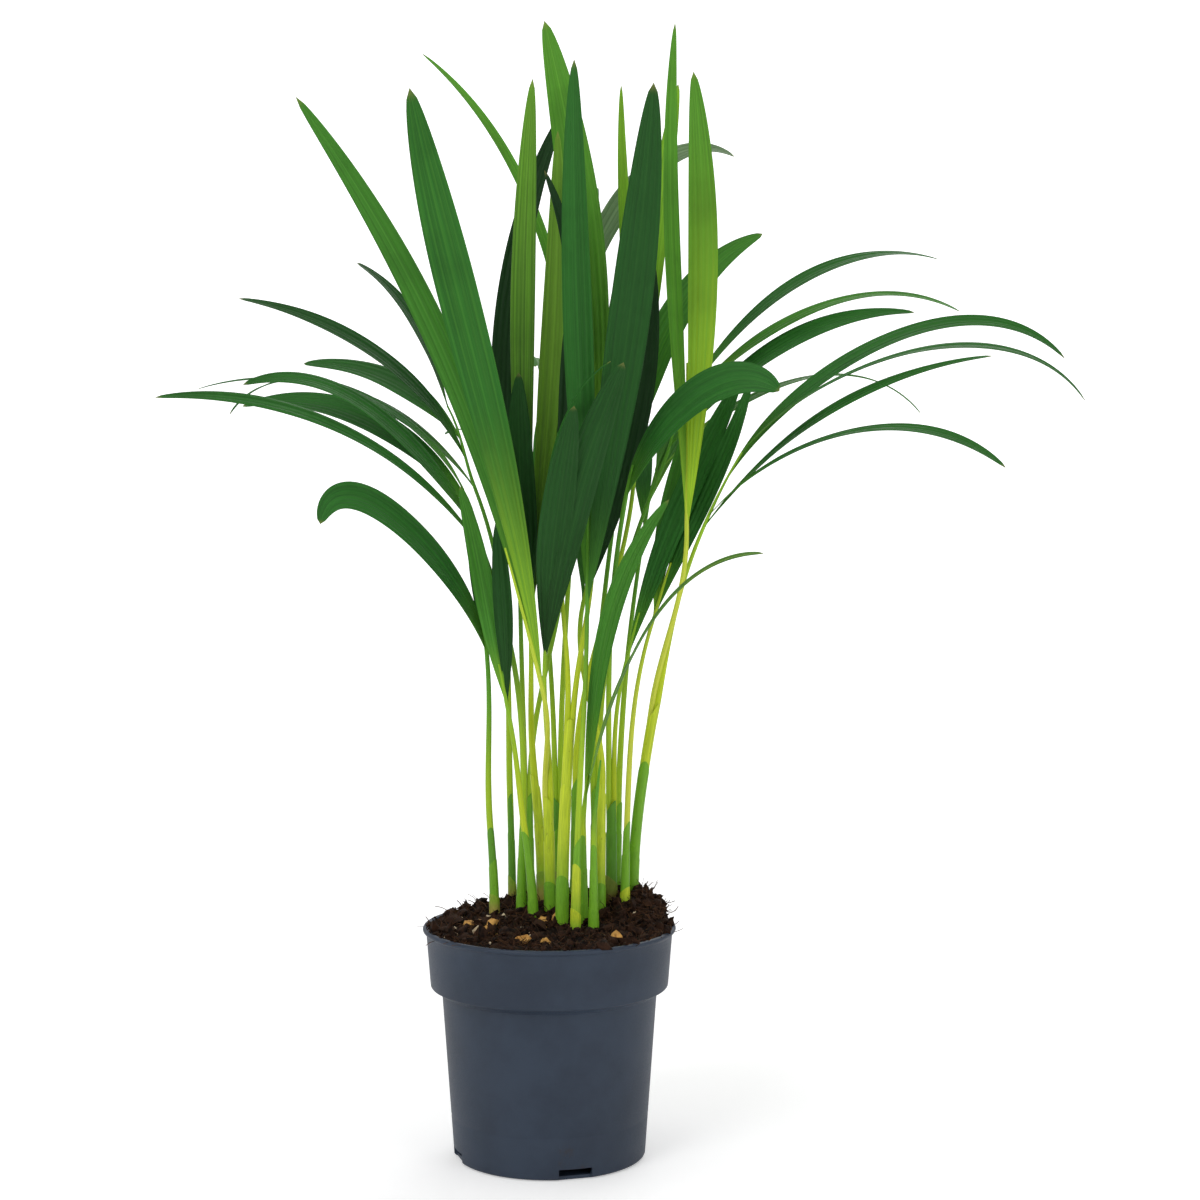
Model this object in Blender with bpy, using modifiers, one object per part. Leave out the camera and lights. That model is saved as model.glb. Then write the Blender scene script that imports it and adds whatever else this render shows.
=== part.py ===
"""A potted areca palm: a clump of young stems and their fronds in a round nursery pot.

Metres, +Z up. The origin is the middle of the pot's flat underside, +X is to the right and
-Y is the front. Every size below is in millimetres and degrees, and is scaled once, by MM.
"""
import math
from collections import namedtuple

import bmesh
import bpy
from mathutils import Matrix, Vector

MM = 0.001
PLANT_NAME = "potted_areca_palm"

# The pot, a 12 cm nursery pot with a straight band under its rim.
POT_HEIGHT = 110.0
RIM_RADIUS = 60.0
LIP_HEIGHT = 2.4
LIP_WIDTH = 2.6
LIP_ROUND = 0.6
BAND_TOP_RADIUS = 58.4
BAND_FOOT_RADIUS = 56.4
BAND_FOOT_Z = 82.0
SHOULDER_Z = 78.5
BODY_TOP_RADIUS = 51.0
FOOT_RADIUS = 45.6
FOOT_ROUND = 1.6
WALL = 1.2
FLOOR = 1.6
POT_STEPS = 56

# Notches in the foot that let water out.
NOTCH_COUNT = 4
FIRST_NOTCH = -73.5
NOTCH_WIDTH = 16.0
NOTCH_TOP_Z = 5.2
NOTCH_DEPTH = 8.0
FLOOR_EDGE_DEPTH = 2.2

# The soil: its level at the edge, and its heaps as (x, y, height, spread in x, in y).
SOIL_LEVEL = 108.0
SOIL_HEAPS = [(12, 36, 9, 30, 22), (48, 22, 5, 14, 16)]
SOIL_RINGS = 7
SOIL_STEPS = 40
SOIL_FOOT_RADIUS = 37.0
SOIL_FOOT_CHAMFER = 6.0
SEAT_DEPTH = 1.5
SEAT_STEPS = 10

# What stays free between two pieces that touch.
CLEARANCE = 0.3

# How the limbs and the blades are divided.
STEM_SPANS = 4
PETIOLE_SPANS = 5
RACHIS_SPANS = 4
BLADE_SPANS = 10

# The blades: thickness as a share of the length, and the depth of the fold along them.
THICKNESS_SHARE = 0.0105
THINNEST_BLADE = 1.1
BLADE_ROOT_WIDTH = 1.3
BLADE_FOLD = 0.14
TIP_FULLNESS = 0.52
RACHIS_TIP_WIDTH = 0.9

# A stem: its foot in the pot, its height over the soil, the side that it leans to and how
# far, and its width at the foot and at the top.
Stem = namedtuple("Stem", "x y height side lean foot top")
# A rachis: the side that it points to, its reach and rise, and its slope at both ends.
Rachis = namedtuple("Rachis", "side reach rise lift dip")
# A leaflet: how far along the rachis it starts, the side that it points to, its reach and
# rise, its slope at the root and at the tip, its width, how far the blade is rolled about
# its own line, and how far along it is widest.
Leaf = namedtuple("Leaf", "at side reach rise lift dip width roll peak")
# A frond: its stem, how far its foot stands beside the stem's middle, where its blade
# starts, the petiole's width at its foot and at the blade, its rachis and its leaflets.
Frond = namedtuple("Frond", "stem beside start foot top rachis leaves")

STEMS = {
    1: Stem(-27, 22, 42, 180, 2, 4.6, 3.4),
    2: Stem(-19, 38, 54, 180, 1, 3.8, 3.0),
    3: Stem(-14, 21, 43, 20, 1, 4.6, 3.6),
    4: Stem(-8, 9, 42, 170, 4, 4.6, 3.4),
    5: Stem(-4, 33, 62, 190, 4, 5.4, 4.4),
    6: Stem(0, 15, 56, 200, 1, 5.2, 5.0),
    7: Stem(6, 0, 98, 15, 4, 5.6, 5.0),
    8: Stem(12.5, -9, 44, 0, 1, 4.6, 3.4),
    9: Stem(16, 3, 42, 260, 2, 4.6, 3.6),
    10: Stem(21, -6, 40, 0, 0, 4.6, 3.2),
    11: Stem(24, 13, 62, 0, 1, 5.0, 4.2),
    12: Stem(29.5, 22, 50, 0, 0, 5.2, 4.8),
    13: Stem(36, 15, 42, 0, 1, 4.4, 3.2),
    14: Stem(40, 28, 96, 345, 11, 4.8, 5.0),
    15: Stem(12, 33, 58, 90, 2, 5.0, 4.0),
    16: Stem(22, 42, 54, 90, 2, 5.0, 5.0),
    17: Stem(-11, 47, 52, 110, 2, 5.0, 5.0),
    18: Stem(3, 50, 48, 90, 2, 5.0, 5.0),
    19: Stem(32, 38, 46, 60, 2, 4.8, 4.0),
}

FRONDS = {
    # The front and the middle of the crown.
    "frond_tall_left": Frond(6, -1.3, (-3, -12, 224), 2.2, 2.2, Rachis(-160, 18, 66, 76, 74), [
        Leaf(0.0, -148, 68, 272, 82, 77, 18.5, 62, 0.68),
        Leaf(0.0, -176, 112, 272, 80, 54, 13, 80, 0.55),
    ]),
    "frond_front": Frond(6, 1.3, (-2, -2, 236), 2.2, 2.0, Rachis(-70, 6, 36, 84, 80), [
        Leaf(0.0, -61, 75, 138, 76, 48, 17.5, -20, 0.5),
        Leaf(0.0, -76, 60, 119, 80, 54, 15.5, 0, 0.5),
        Leaf(0.2, -42, 41, 132, 96, 25, 7, 40, 0.5),
    ]),
    "frond_centre_left": Frond(5, 0, (-9, 8, 252), 2.6, 2.0, Rachis(180, 2, 60, 88, 88), [
        Leaf(0.0, 8, 1.5, 256, 93, 86, 11.5, 78, 0.6),
        Leaf(0.0, 12, 13.5, 232, 85, 91, 12, 58, 0.55),
        Leaf(0.0, -120, 10, 119, 82, 92, 14, 20, 0.5),
    ]),
    "frond_centre_dark": Frond(8, 0, (18, -3, 262), 2.2, 2.0, Rachis(-80, 3, 56, 88, 88), [
        Leaf(0.0, -122, 11, 252, 88, 92, 14, 24, 0.5),
        Leaf(0.0, -48, 45, 238, 78, 84, 19, -45, 0.58),
    ]),
    "frond_centre_bright": Frond(7, 1.3, (21, 15, 292), 2.2, 2.0, Rachis(150, 2, 60, 90, 88), [
        Leaf(0.0, 150, 27, 246, 92, 74, 19, -60, 0.58),
        Leaf(0.0, 30, 20, 150, 86, 84, 12, 50, 0.6),
    ]),
    "frond_inner": Frond(7, -1.3, (5, 1, 290), 2.2, 1.6, Rachis(180, 1, 30, 90, 90), [
        Leaf(0.0, 172, 7, 175, 95, 66, 8, -80, 0.5),
        Leaf(0.0, 14, 8, 128, 86, 84, 8, 70, 0.6),
    ]),
    # The right side.
    "frond_tall_right": Frond(14, -1.3, (65, 8, 296), 2.2, 2.2, Rachis(90, 1, 80, 88, 88), [
        Leaf(0.0, 172, 6, 238, 88, 94, 7.5, -82, 0.55),
        Leaf(0.0, -30, 3, 215, 84, 97, 14, -60, 0.6),
    ]),
    "frond_feather_right": Frond(14, 1.3, (73, 12, 298), 2.2, 1.8, Rachis(-20, 19, 36, 66, 58), [
        Leaf(0.0, -18, 136, 80, 52, 6, 8.5, 30, 0.45),
        Leaf(0.15, -30, 148, 24, 46, -38, 10, 20, 0.5),
        Leaf(0.55, -1, 160, 60, 62, -46, 11.5, 32, 0.45),
        Leaf(1.0, -13, 158, 24, 50, -56, 9, 15, 0.4),
    ]),
    "frond_feather_far_right": Frond(16, 1.3, (54, 36, 326), 2.2, 1.8, Rachis(12, 12, 34, 66, 60), [
        Leaf(0.0, 26, 148, 27, 46, -45, 8, 10, 0.45),
        Leaf(0.3, 6, 120, 65, 50, -4, 13, 35, 0.5),
        Leaf(0.75, 10, 141, 51, 52, -26, 9, 22, 0.5),
        Leaf(1.0, 22, 138, 70, 56, -12, 10, 20, 0.5),
    ]),
    "frond_arching_right": Frond(12, -1.2, (36, 4, 312), 2.2, 2.2, Rachis(-30, 4, 16, 78, 72), [
        Leaf(0.0, -30, 80, 50, 72, -36, 22, 60, 0.5),
    ]),
    "frond_middle_right": Frond(12, 1.3, (37, 21, 235), 2.0, 1.8, Rachis(8, 6, 22, 74, 72), [
        Leaf(0.0, 6, 55, 135, 74, 64, 13, 60, 0.55),
    ]),
    "frond_narrow_right": Frond(13, 0, (50, 22, 255), 2.2, 1.8, Rachis(0, 8, 26, 72, 70), [
        Leaf(0.0, -2, 46, 113, 70, 74, 10, 60, 0.5),
        Leaf(0.0, 45, 26, 96, 82, 70, 10, 40, 0.5),
    ]),
    "frond_low_right": Frond(9, 0, (16.5, -1, 166), 2.8, 2.4, Rachis(-30, 2, 16, 82, 80), [
        Leaf(0.0, -8, 40, 146, 84, 52, 10, 70, 0.6),
        Leaf(0.0, -40, 104, 124, 76, 2, 10, 30, 0.45),
    ]),
    "frond_spear": Frond(10, 0, (22, -8, 168), 2.4, 1.8, Rachis(-40, 3, 22, 82, 80), []),
    "frond_back_pair": Frond(15, 0, (41, 36, 335), 2.2, 2.0, Rachis(90, 2, 50, 86, 86), [
        Leaf(0.0, 115, 16, 176, 88, 90, 6.5, -25, 0.4),
        Leaf(0.0, 50, 33, 178, 84, 76, 11, 38, 0.5),
    ]),
    "frond_dark_middle": Frond(11, 0, (16, 20, 262), 2.6, 2.2, Rachis(25, 8, 40, 76, 78), [
        Leaf(0.0, 14, 32, 172, 70, 92, 14, 70, 0.6),
        Leaf(0.0, 130, 18, 150, 88, 86, 13, -40, 0.6),
    ]),
    "frond_back_right": Frond(16, -1.3, (33, 46, 318), 2.4, 2.0, Rachis(40, 4, 24, 80, 78), [
        Leaf(0.0, 34, 88, 125, 78, 20, 16, 52, 0.38),
        Leaf(0.0, 58, 50, 84, 82, -12, 8, 30, 0.5),
    ]),
    # The left side.
    "frond_hooked_left": Frond(1, 0, (-30, 14, 238), 2.4, 2.2, Rachis(-140, 4, 20, 84, 76), [
        Leaf(0.0, -142, 92, 64, 75, -76, 19, -58, 0.42),
        Leaf(0.0, 176, 8, 58, 88, 80, 8, -70, 0.5),
    ]),
    "frond_feather_left": Frond(3, 0, (-31, 12, 286), 2.6, 2.0, Rachis(170, 10, 30, 70, 60), [
        Leaf(0.0, -158, 156, 73, 55, -6, 9, -40, 0.5),
        Leaf(0.3, -168, 110, 70, 58, -20, 13, -36, 0.45),
        Leaf(0.65, 172, 112, 50, 56, -14, 16, -38, 0.45),
        Leaf(1.0, 158, 127, 36, 62, -52, 8, -10, 0.4),
    ]),
    "frond_feather_far_left": Frond(2, 0, (-36, 30, 316), 2.4, 1.8, Rachis(165, 14, 40, 68, 60), [
        Leaf(0.0, 157, 155, 49, 52, -14, 9, -10, 0.4),
        Leaf(0.35, 178, 109, 77, 64, 10, 11, -32, 0.4),
        Leaf(0.6, 151, 92, 37, 48, -2, 13, -35, 0.45),
        Leaf(1.0, -156, 45, 67, 72, 30, 12, -40, 0.45),
    ]),
    "frond_low_left": Frond(4, 0, (-20, 4, 214), 2.4, 2.0, Rachis(-165, 4, 20, 78, 76), [
        Leaf(0.0, -172, 22, 104, 76, 74, 10, 70, 0.55),
        Leaf(0.0, -110, 12, 88, 88, 80, 9, 20, 0.55),
    ]),
    # The back.
    "frond_dark_left": Frond(17, -1.3, (-15, 36, 275), 2.2, 2.0, Rachis(120, 4, 40, 88, 86), [
        Leaf(0.0, 35, 25, 222, 101, 62, 13, 55, 0.5),
        Leaf(0.0, 120, 88, 116, 74, 0, 12, 0, 0.5),
    ]),
    "frond_arc_left": Frond(17, 1.3, (8, 58, 300), 2.2, 1.8, Rachis(110, 6, 36, 86, 80), [
        Leaf(0.0, 148, 87, 234, 99, 36, 6, -30, 0.5),
        Leaf(0.0, 100, 108, 78, 72, -22, 11, 0, 0.5),
    ]),
    "frond_arc_right": Frond(18, 1.3, (16, 64, 392), 2.2, 1.8, Rachis(60, 4, 30, 86, 80), [
        Leaf(0.0, 30, 88, 91, 98, -24, 13, 40, 0.5),
        Leaf(0.0, 88, 112, 74, 72, -25, 11, 0, 0.5),
    ]),
    "frond_feather_back": Frond(18, -1.3, (-6, 78, 290), 2.2, 1.8, Rachis(105, 16, 28, 70, 56), [
        Leaf(0.0, 128, 84, 52, 58, -20, 11, 0, 0.45),
        Leaf(0.4, 84, 80, 56, 60, -16, 11, 0, 0.45),
        Leaf(1.0, 108, 92, 34, 52, -34, 11, 0, 0.45),
    ]),
    "frond_feather_back_right": Frond(19, 0, (46, 62, 296), 2.4, 1.8, Rachis(65, 14, 28, 68, 54), [
        Leaf(0.0, 92, 84, 50, 58, -18, 11, 0, 0.45),
        Leaf(0.4, 52, 76, 52, 58, -14, 11, 0, 0.45),
        Leaf(1.0, 72, 88, 34, 50, -34, 10, 0, 0.45),
    ]),
}

# Plain colours, as (red, green, blue), roughness.
POT_FINISH = ((0.035, 0.048, 0.070), 0.5)
SOIL_FINISH = ((0.020, 0.012, 0.008), 1.0)
STEM_FINISH = ((0.130, 0.300, 0.030), 0.5)
FROND_FINISH = ((0.030, 0.150, 0.020), 0.45)


def clear_scene():
    """Remove every object that a new file starts with."""
    for thing in list(bpy.data.objects):
        bpy.data.objects.remove(thing, do_unlink=True)


def new_collection(name):
    """A collection in the scene."""
    collection = bpy.data.collections.new(name)
    bpy.context.scene.collection.children.link(collection)
    return collection


def new_object(name, data, collection):
    """An object of its own in a collection."""
    thing = bpy.data.objects.new(name, data)
    collection.objects.link(thing)
    return thing


def finish(thing, colour, roughness):
    """Give an object a Principled material of its own."""
    material = bpy.data.materials.new(thing.name)
    material.use_nodes = True
    shader = material.node_tree.nodes["Principled BSDF"]
    shader.inputs["Base Color"].default_value = (*colour, 1.0)
    shader.inputs["Roughness"].default_value = roughness
    thing.data.materials.clear()
    thing.data.materials.append(material)


def mark_as_cutter(thing):
    """Keep a cutter out of the render and out of the model."""
    thing.hide_render = True
    thing.display_type = "WIRE"


def smooth(thing, angle):
    """Shade an object smooth, with edges sharper than the angle kept."""
    thing.data.shade_smooth()
    thing.data.set_sharp_from_angle(angle=math.radians(angle))


def way(side, slope):
    """Unit vector that points to a side, at a slope above level."""
    side, slope = math.radians(side), math.radians(slope)
    level = math.cos(slope)
    return Vector((level * math.cos(side), level * math.sin(side), math.sin(slope)))


class Sweep:
    """A smooth line from one place to another, leaving and arriving in given ways."""

    def __init__(self, start, end, leave, arrive):
        handle = (end - start).length * 0.36
        self.points = (start, start + leave * handle, end - arrive * handle, end)

    def place(self, share):
        """The point a share of the way along."""
        a, b, c, d = self.points
        rest = 1 - share
        return (a * rest ** 3 + b * 3 * rest * rest * share
                + c * 3 * rest * share * share + d * share ** 3)

    def heading(self, share):
        """The unit direction of the line there."""
        a, b, c, d = self.points
        rest = 1 - share
        return ((b - a) * rest * rest + (c - b) * 2 * rest * share
                + (d - c) * share * share).normalized()


def soil_height(x, y):
    """Height of the soil over the pot's underside, at a place in the pot."""
    height = SOIL_LEVEL
    for heap_x, heap_y, rise, spread_x, spread_y in SOIL_HEAPS:
        away = ((x - heap_x) / spread_x) ** 2 + ((y - heap_y) / spread_y) ** 2
        height += rise * math.exp(-0.5 * away)
    return height


def turned(name, profile, steps, collection):
    """A turned solid from a profile of (radius, height), from the top down outside."""
    mesh = bpy.data.meshes.new(name)
    points = [(radius * MM, 0, height * MM) for radius, height in profile]
    edges = [(index, index + 1) for index in range(len(points) - 1)]
    mesh.from_pydata(points, edges, [])
    thing = new_object(name, mesh, collection)
    screw = thing.modifiers.new("turn", "SCREW")
    screw.steps = screw.render_steps = steps
    screw.use_merge_vertices = True
    screw.merge_threshold = 0.00001
    return thing


def wall_profile(inset):
    """The pot's wall from the foot to under the lip, moved in by an inset."""
    return [(FOOT_RADIUS - inset, FOOT_ROUND), (BODY_TOP_RADIUS - inset, SHOULDER_Z),
            (BAND_FOOT_RADIUS - inset, BAND_FOOT_Z)]


def make_pot(collection, cutters):
    """The pot: a thin shell with a band, a lip and four notches in its foot."""
    under_lip = POT_HEIGHT - LIP_HEIGHT
    inner = [(0, FLOOR), (FOOT_RADIUS - WALL - FOOT_ROUND, FLOOR)]
    inner += [(radius, max(height, 2 * FLOOR)) for radius, height in wall_profile(WALL)]
    inner += [(BAND_TOP_RADIUS - WALL, under_lip), (RIM_RADIUS - LIP_WIDTH, POT_HEIGHT)]
    outer = [(RIM_RADIUS - LIP_ROUND, POT_HEIGHT), (RIM_RADIUS, POT_HEIGHT - LIP_ROUND),
             (RIM_RADIUS, under_lip + LIP_ROUND), (BAND_TOP_RADIUS, under_lip)]
    outer += reversed(wall_profile(0))
    outer += [(FOOT_RADIUS - 0.3 * FOOT_ROUND, 0.3 * FOOT_ROUND), (FOOT_RADIUS - FOOT_ROUND, 0), (0, 0)]
    pot = turned("pot", inner + outer, POT_STEPS, collection)

    for number in range(NOTCH_COUNT):
        turn = Matrix.Rotation(math.radians(FIRST_NOTCH + 360 / NOTCH_COUNT * number), 4, "Z")
        for depth, low, high in ((NOTCH_DEPTH, FLOOR, NOTCH_TOP_Z), (FLOOR_EDGE_DEPTH, -FLOOR, 2 * FLOOR)):
            inside, outside = FOOT_RADIUS - depth, FOOT_RADIUS + depth
            cutter_mesh = bpy.data.meshes.new("notch")
            cutter_shape = bmesh.new()
            bmesh.ops.create_cube(cutter_shape, size=1.0)
            size = Vector((outside - inside, NOTCH_WIDTH, high - low)) * MM
            middle = Vector(((inside + outside) / 2, 0, (low + high) / 2)) * MM
            bmesh.ops.scale(cutter_shape, vec=size, verts=cutter_shape.verts)
            bmesh.ops.translate(cutter_shape, vec=middle, verts=cutter_shape.verts)
            bmesh.ops.transform(cutter_shape, matrix=turn, verts=cutter_shape.verts)
            cutter_shape.to_mesh(cutter_mesh)
            cutter_shape.free()
            mark_as_cutter(new_object(f"notch_{number}_{low:.0f}", cutter_mesh, cutters))
    cut = pot.modifiers.new("notches", "BOOLEAN")
    cut.operation = "DIFFERENCE"
    cut.operand_type = "COLLECTION"
    cut.collection = cutters
    finish(pot, *POT_FINISH)
    return pot


def make_soil(collection, cutters):
    """The soil: it fills the pot, is heaped at the back, and has a seat for each stem."""
    inset = WALL + CLEARANCE + 0.2
    edge = BAND_TOP_RADIUS - inset
    top = [(edge * ring / SOIL_RINGS, SOIL_LEVEL) for ring in range(SOIL_RINGS + 1)]
    side = list(reversed(wall_profile(inset)))[:2]
    chamfer_z = FLOOR + CLEARANCE + SOIL_FOOT_CHAMFER
    foot = [(FOOT_RADIUS - inset, chamfer_z), (SOIL_FOOT_RADIUS, FLOOR + CLEARANCE), (0, FLOOR + CLEARANCE)]
    turning = turned("soil_turning", top + side + foot, SOIL_STEPS, collection)
    soil = new_object("soil", evaluated_mesh(turning), collection)
    bpy.data.objects.remove(turning)
    for vertex in soil.data.vertices:
        if vertex.co.z > (SOIL_LEVEL - 0.01) * MM:
            vertex.co.z = soil_height(vertex.co.x / MM, vertex.co.y / MM) * MM

    for number, stem in STEMS.items():
        seat_mesh = bpy.data.meshes.new("seat")
        seat_shape = bmesh.new()
        radius = (stem.foot / 2 + CLEARANCE) * MM
        height = 4 * SEAT_DEPTH * MM
        bmesh.ops.create_cone(seat_shape, cap_ends=True, segments=SEAT_STEPS,
                              radius1=radius, radius2=radius * 1.1, depth=height)
        seat_shape.to_mesh(seat_mesh)
        seat_shape.free()
        seat = new_object(f"seat_{number:02d}", seat_mesh, cutters)
        seat.location = Vector((stem.x, stem.y, seat_floor(stem))) * MM + Vector((0, 0, height / 2))
        mark_as_cutter(seat)
    cut = soil.modifiers.new("seats", "BOOLEAN")
    cut.operation = "DIFFERENCE"
    cut.operand_type = "COLLECTION"
    cut.collection = cutters
    finish(soil, *SOIL_FINISH)
    return soil


def seat_floor(stem):
    """Height of the level floor of a stem's seat in the soil."""
    return soil_height(stem.x, stem.y) - SEAT_DEPTH


def evaluated_mesh(thing):
    """A new mesh from an object as its modifiers or its bevel leave it."""
    bpy.context.view_layer.update()
    graph = bpy.context.evaluated_depsgraph_get()
    return bpy.data.meshes.new_from_object(thing.evaluated_get(graph))


def tube(name, places, widths, resolution, collection):
    """A round limb through some places, with its width at each, as a closed mesh."""
    curve = bpy.data.curves.new(name, "CURVE")
    curve.dimensions = "3D"
    curve.bevel_depth = MM
    curve.bevel_resolution = resolution
    curve.use_fill_caps = True
    spline = curve.splines.new("POLY")
    spline.points.add(len(places) - 1)
    for point, place, width in zip(spline.points, places, widths):
        point.co = (*(place * MM), 1)
        point.radius = width / 2
    drawn = new_object(name + "_line", curve, collection)
    mesh = evaluated_mesh(drawn)
    mesh.transform(drawn.matrix_world)
    weld = bmesh.new()
    weld.from_mesh(mesh)
    bmesh.ops.remove_doubles(weld, verts=weld.verts, dist=0.000001)
    bmesh.ops.recalc_face_normals(weld, faces=weld.faces)
    weld.to_mesh(mesh)
    weld.free()
    bpy.data.objects.remove(drawn)
    mesh.name = name
    return new_object(name, mesh, collection)


def mixed(first, last, share):
    """A value a share of the way from the first to the last."""
    return first + (last - first) * share


def stem_line(stem):
    """The line of a stem, from its level foot in the seat to its top."""
    foot = Vector((stem.x, stem.y, seat_floor(stem) + CLEARANCE))
    lean = way(stem.side, 0) * stem.lean
    top = Vector((stem.x, stem.y, soil_height(stem.x, stem.y) + stem.height)) + lean
    rise = Vector((0, 0, stem.height))
    return Sweep(foot, top, Vector((0, 0, 1)), (rise + lean * 1.5).normalized())


def make_stem(number, stem, collection):
    """One young stem, wrapped in its sheaths: a tapering round limb."""
    line = stem_line(stem)
    shares = [step / STEM_SPANS for step in range(STEM_SPANS + 1)]
    places = [line.place(share) for share in shares]
    widths = [mixed(stem.foot, stem.top, share) for share in shares]
    limb = tube(f"stem_{number:02d}", places, widths, 2, collection)
    smooth(limb, 40)
    finish(limb, *STEM_FINISH)
    return limb


def frond_lines(frond):
    """The lines of a frond's petiole and of its rachis."""
    stem = stem_line(STEMS[frond.stem])
    up = stem.heading(1.0)
    foot = stem.place(1.0) + up * CLEARANCE + Vector((frond.beside, 0, 0))
    start = Vector(frond.start)
    rachis = frond.rachis
    leave = way(rachis.side, rachis.lift)
    end = start + way(rachis.side, 0) * rachis.reach + Vector((0, 0, rachis.rise))
    return Sweep(foot, start, up, leave), Sweep(start, end, leave, way(rachis.side, rachis.dip))


def blade_share(share, peak):
    """The width of a blade as a share of its full width: narrow root, pointed tip."""
    if share < peak:
        return math.sin(math.pi / 2 * share / peak)
    return math.cos(math.pi / 2 * (share - peak) / (1 - peak)) ** TIP_FULLNESS


def make_blade(name, leaf, root, collection):
    """One leaflet: a thin blade, folded a little along its middle, with a sharp tip."""
    side = way(leaf.side, 0)
    tip = root + side * leaf.reach + Vector((0, 0, leaf.rise))
    line = Sweep(root, tip, way(leaf.side, leaf.lift), way(leaf.side, leaf.dip))
    across = way(leaf.side + 90, 0)
    thickness = max(THINNEST_BLADE, THICKNESS_SHARE * (tip - root).length)
    shape = bmesh.new()
    rings = []
    for step in range(BLADE_SPANS):
        share = step / BLADE_SPANS
        along = line.heading(share)
        face = along.cross(across)
        roll = math.radians(leaf.roll)
        edge_way = across * math.cos(roll) + face * math.sin(roll)
        face_way = face * math.cos(roll) - across * math.sin(roll)
        half = max(BLADE_ROOT_WIDTH, leaf.width * blade_share(share, leaf.peak)) / 2
        depth = thickness / 2 * (0.5 + 0.5 * blade_share(share, leaf.peak))
        middle = line.place(share)
        edge_lift = face_way * half * BLADE_FOLD
        corners = (middle - face_way * depth, middle + edge_way * half + edge_lift,
                   middle + face_way * depth, middle - edge_way * half + edge_lift)
        rings.append([shape.verts.new(corner * MM) for corner in corners])
    point = shape.verts.new(tip * MM)
    shape.faces.new(reversed(rings[0]))
    for low, high in zip(rings, rings[1:]):
        for side_number in range(4):
            after = (side_number + 1) % 4
            shape.faces.new((low[side_number], low[after], high[after], high[side_number]))
    for side_number in range(4):
        shape.faces.new((rings[-1][side_number], rings[-1][(side_number + 1) % 4], point))
    bmesh.ops.recalc_face_normals(shape, faces=shape.faces)
    mesh = bpy.data.meshes.new(name)
    shape.to_mesh(mesh)
    shape.free()
    return new_object(name, mesh, collection)


def make_frond(name, frond, collection):
    """One frond: petiole and rachis as one limb, with its leaflets joined on."""
    petiole, rachis = frond_lines(frond)
    places, widths = [], []
    for step in range(PETIOLE_SPANS):
        share = step / PETIOLE_SPANS
        places.append(petiole.place(share))
        widths.append(mixed(frond.foot, frond.top, share))
    for step in range(RACHIS_SPANS + 1):
        share = step / RACHIS_SPANS
        places.append(rachis.place(share))
        widths.append(mixed(frond.top, RACHIS_TIP_WIDTH, share))
    limb = tube(name, places, widths, 1, collection)

    blades = new_collection(name + "_blades")
    for number, leaf in enumerate(frond.leaves):
        make_blade(f"{name}_blade_{number}", leaf, rachis.place(leaf.at), blades)
    if frond.leaves:
        union = limb.modifiers.new("blades", "BOOLEAN")
        union.operation = "UNION"
        union.operand_type = "COLLECTION"
        union.collection = blades
        joined = evaluated_mesh(limb)
        limb.modifiers.clear()
        limb.data = joined
    for blade in list(blades.objects):
        bpy.data.objects.remove(blade)
    bpy.data.collections.remove(blades)
    smooth(limb, 40)
    finish(limb, *FROND_FINISH)
    return limb


def main():
    """Build the whole plant in its pot."""
    clear_scene()
    plant = new_collection(PLANT_NAME)
    make_pot(plant, new_collection("notch_cutters"))
    make_soil(plant, new_collection("seat_cutters"))
    for number, stem in STEMS.items():
        make_stem(number, stem, plant)
    for name, frond in FRONDS.items():
        make_frond(name, frond, plant)


main()
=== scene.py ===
# %% [markdown]
# # A young areca palm in its nursery pot
#
# The measured model of this plant is plain: a pot, a body of soil, nineteen short stems and
# twenty-six fronds. In this lesson each of them is dressed with a finer mesh and a material
# of its own. Nothing is moved or resized, because every piece is worked out from the same
# lines and sizes as the plain one.
#
# The first step loads the plain model. It is the frame that all the pieces fit into.

# %% Load the frame
import math
import random
from collections import namedtuple

import bpy
import numpy as np
from mathutils import Matrix, Vector, noise


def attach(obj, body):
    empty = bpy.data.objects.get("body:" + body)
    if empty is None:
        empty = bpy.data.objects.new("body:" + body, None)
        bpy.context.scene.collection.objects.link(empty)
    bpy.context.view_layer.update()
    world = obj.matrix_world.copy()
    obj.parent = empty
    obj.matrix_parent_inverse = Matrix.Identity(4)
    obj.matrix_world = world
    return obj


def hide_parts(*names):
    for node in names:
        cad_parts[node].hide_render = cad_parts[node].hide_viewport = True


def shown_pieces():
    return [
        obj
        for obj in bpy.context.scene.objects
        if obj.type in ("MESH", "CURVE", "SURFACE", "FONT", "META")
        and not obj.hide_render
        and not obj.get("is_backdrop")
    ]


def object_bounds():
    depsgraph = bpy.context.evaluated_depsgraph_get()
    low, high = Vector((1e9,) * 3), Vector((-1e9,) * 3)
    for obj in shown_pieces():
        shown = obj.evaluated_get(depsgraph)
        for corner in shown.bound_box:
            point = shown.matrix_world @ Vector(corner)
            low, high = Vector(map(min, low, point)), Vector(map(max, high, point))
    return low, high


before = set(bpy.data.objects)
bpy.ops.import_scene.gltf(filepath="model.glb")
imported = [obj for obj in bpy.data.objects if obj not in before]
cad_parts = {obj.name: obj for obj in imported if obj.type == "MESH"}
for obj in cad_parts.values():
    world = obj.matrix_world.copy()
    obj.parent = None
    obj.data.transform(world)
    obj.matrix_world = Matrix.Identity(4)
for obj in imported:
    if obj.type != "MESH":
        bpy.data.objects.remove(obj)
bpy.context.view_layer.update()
MM = 0.001
print("nodes in the frame:", len(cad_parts))

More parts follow.
